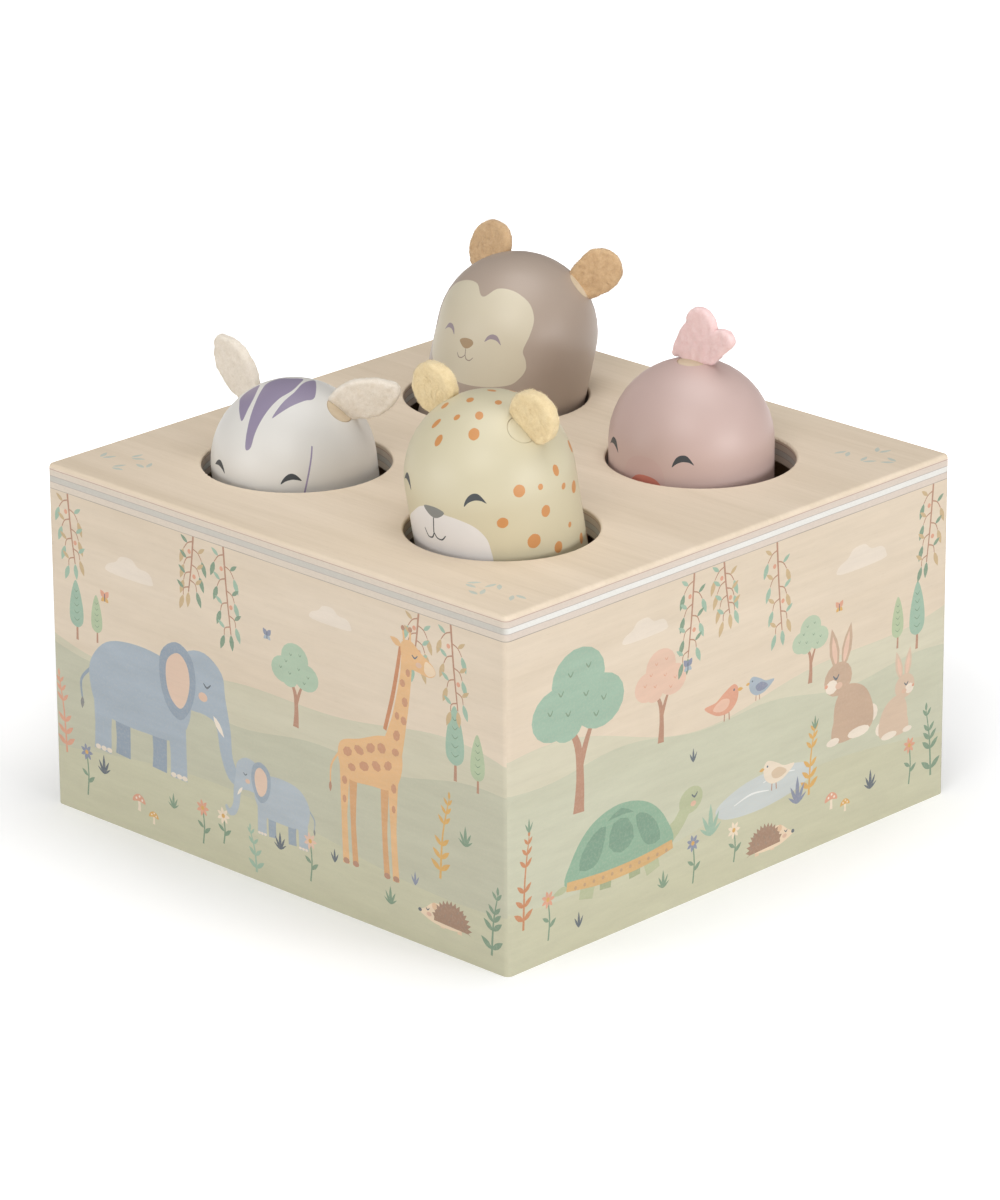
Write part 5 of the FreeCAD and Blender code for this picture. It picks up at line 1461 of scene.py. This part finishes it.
# Felt pieces whose dowel is painted over with the head; the other dowels stay bare.
PAINTED = {"leopard_left_ear": "leopard", "leopard_right_ear": "leopard", "zebra_left_ear": "zebra"}
plug_wood = local_wood("plug_wood", "#DCCCB4", "#C5B08F")
fuzz = fuzz_tree()
FELTS = {"zebra": ("cream_felt", "#F6EDE0", "#E6DBCA"), "leopard": ("straw_felt", "#F3DFB4", "#E4CD9D"),
         "flamingo": ("pink_felt", "#FCE2E0", "#F3CFCC"), "monkey": ("tan_felt", "#DBBB92", "#C9A57A")}
for seed, animal in enumerate(ANIMALS):
    slot, pale, dark = FELTS[animal]
    wool = felt(slot, pale, dark)
    head = head_frame(animal)
    centre = head.translation * MM
    for name, side, ear in ears_of(animal):
        node = animal + "_" + name
        holder = placed(node + "_wool", soft_blank(node, centre))
        mesh = grown(holder, fuzz, {"Dome centre": centre, "Seed": 11 * seed + side, "Finish": wool})
        mesh.name = node + "_wool"
        wool_piece = piece(node + "_wool", mesh)
        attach(wool_piece, animal)
        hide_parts(node)
        painted = PAINTED.get(node)
        finish = bpy.data.materials[painted + "_satin_paint"] if painted else plug_wood
        dowel = level_plug(node + "_plug", ear, head, finish)
        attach(dowel, animal)
        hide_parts(node + "_plug")


# ---------------------------------------------------------------------------
# Floor, light and camera
# The toy stands on a wide pale floor that turns to plain white a hand's breadth away,
# under four soft boxes, and is seen by a long lens from above its front right corner.
# ---------------------------------------------------------------------------

floor_mesh = bpy.data.meshes.new("floor")
floor_mesh.from_pydata([(-6, -6, 0), (6, -6, 0), (6, 6, 0), (-6, 6, 0)], [], [(0, 1, 2, 3)])
made, tree, shader = finish_coat("pale_floor", roughness=0.9)
shader.inputs["Base Color"].default_value = colour("#F4F4F4")
shader.inputs["Emission Color"].default_value = (1, 1, 1, 1)
floor_mesh.materials.append(made)
rays = wire(tree, "ShaderNodeLightPath").outputs
seen = maths(tree, "MAXIMUM", rays["Is Camera Ray"], rays["Is Glossy Ray"])
seen = maths(tree, "MAXIMUM", seen, rays["Is Transmission Ray"])
where = wire(tree, "ShaderNodeTexCoord").outputs["Object"]
away = wire(tree, "ShaderNodeVectorMath", {0: where}, operation="LENGTH").outputs["Value"]
glow = between(tree, away, 0.09, 0.3, 0.12, 1.0)
join(tree, shader, {"Emission Strength": maths(tree, "MULTIPLY", seen, glow)})
floor = placed("floor", floor_mesh)

world = bpy.data.worlds.new("studio")
bpy.context.scene.world = world
world.use_nodes = True
tree = world.node_tree
background = tree.nodes["Background"]
background.inputs["Color"].default_value = (1, 1, 1, 1)
rays = wire(tree, "ShaderNodeLightPath").outputs
# White behind the toy, but only a dim light from it.
join(tree, background, {"Strength": between(tree, rays["Is Camera Ray"], 0.0, 1.0, 0.16, 1.0)})


def turned_to(made, rotation):
    made.rotation_mode = "QUATERNION"
    made.rotation_quaternion = rotation


def soft_box(name, place, width, depth, power):
    light = bpy.data.lights.new(name, "AREA")
    light.shape, light.size, light.size_y, light.energy = "RECTANGLE", width, depth, power
    lamp = placed(name, light)
    lamp.location = place
    turned_to(lamp, (AIM - Vector(place)).to_track_quat("-Z", "Y"))


AIM = Vector((0, 0, 0.06))
soft_box("left_soft_box", (-0.49, -1.297, 0.255), 0.9, 0.4, 5.2)
soft_box("right_soft_box", (1.375, 0.103, 0.303), 0.9, 0.4, 8.6)
soft_box("front_soft_box", (0.525, -0.935, 0.96), 0.7, 0.7, 6.0)
soft_box("top_soft_box", (0.1, 0.1, 1.4), 1.0, 1.0, 9.4)

# Focal length and height of the frame in pixels; the camera's bearing, height and roll in
# degrees; and its distance to the right of, above and back from the middle of the base in mm.
FOCAL, FRAME, SENSOR = 6086.61, 1200, 36
AROUND, ABOVE, ROLL = (math.radians(angle) for angle in (44.294, 20.539, -0.3536))
STANDS = (-0.2376, 47.245, 1457.98)
lens = bpy.data.cameras.new("camera")
lens.sensor_width = SENSOR
lens.lens = FOCAL * SENSOR / FRAME
camera = placed("camera", lens)
back = Vector((math.sin(AROUND) * math.cos(ABOVE), -math.cos(AROUND) * math.cos(ABOVE), math.sin(ABOVE)))
level_right = Vector((0, 0, 1)).cross(back).normalized()
level_up = back.cross(level_right)
right = math.cos(ROLL) * level_right + math.sin(ROLL) * level_up
up = math.cos(ROLL) * level_up - math.sin(ROLL) * level_right
camera.location = (right * STANDS[0] + up * STANDS[1] + back * STANDS[2]) * MM
turned_to(camera, Matrix((right, up, back)).transposed().to_quaternion())
bpy.context.scene.camera = camera
bpy.context.scene.view_settings.view_transform = "Standard"
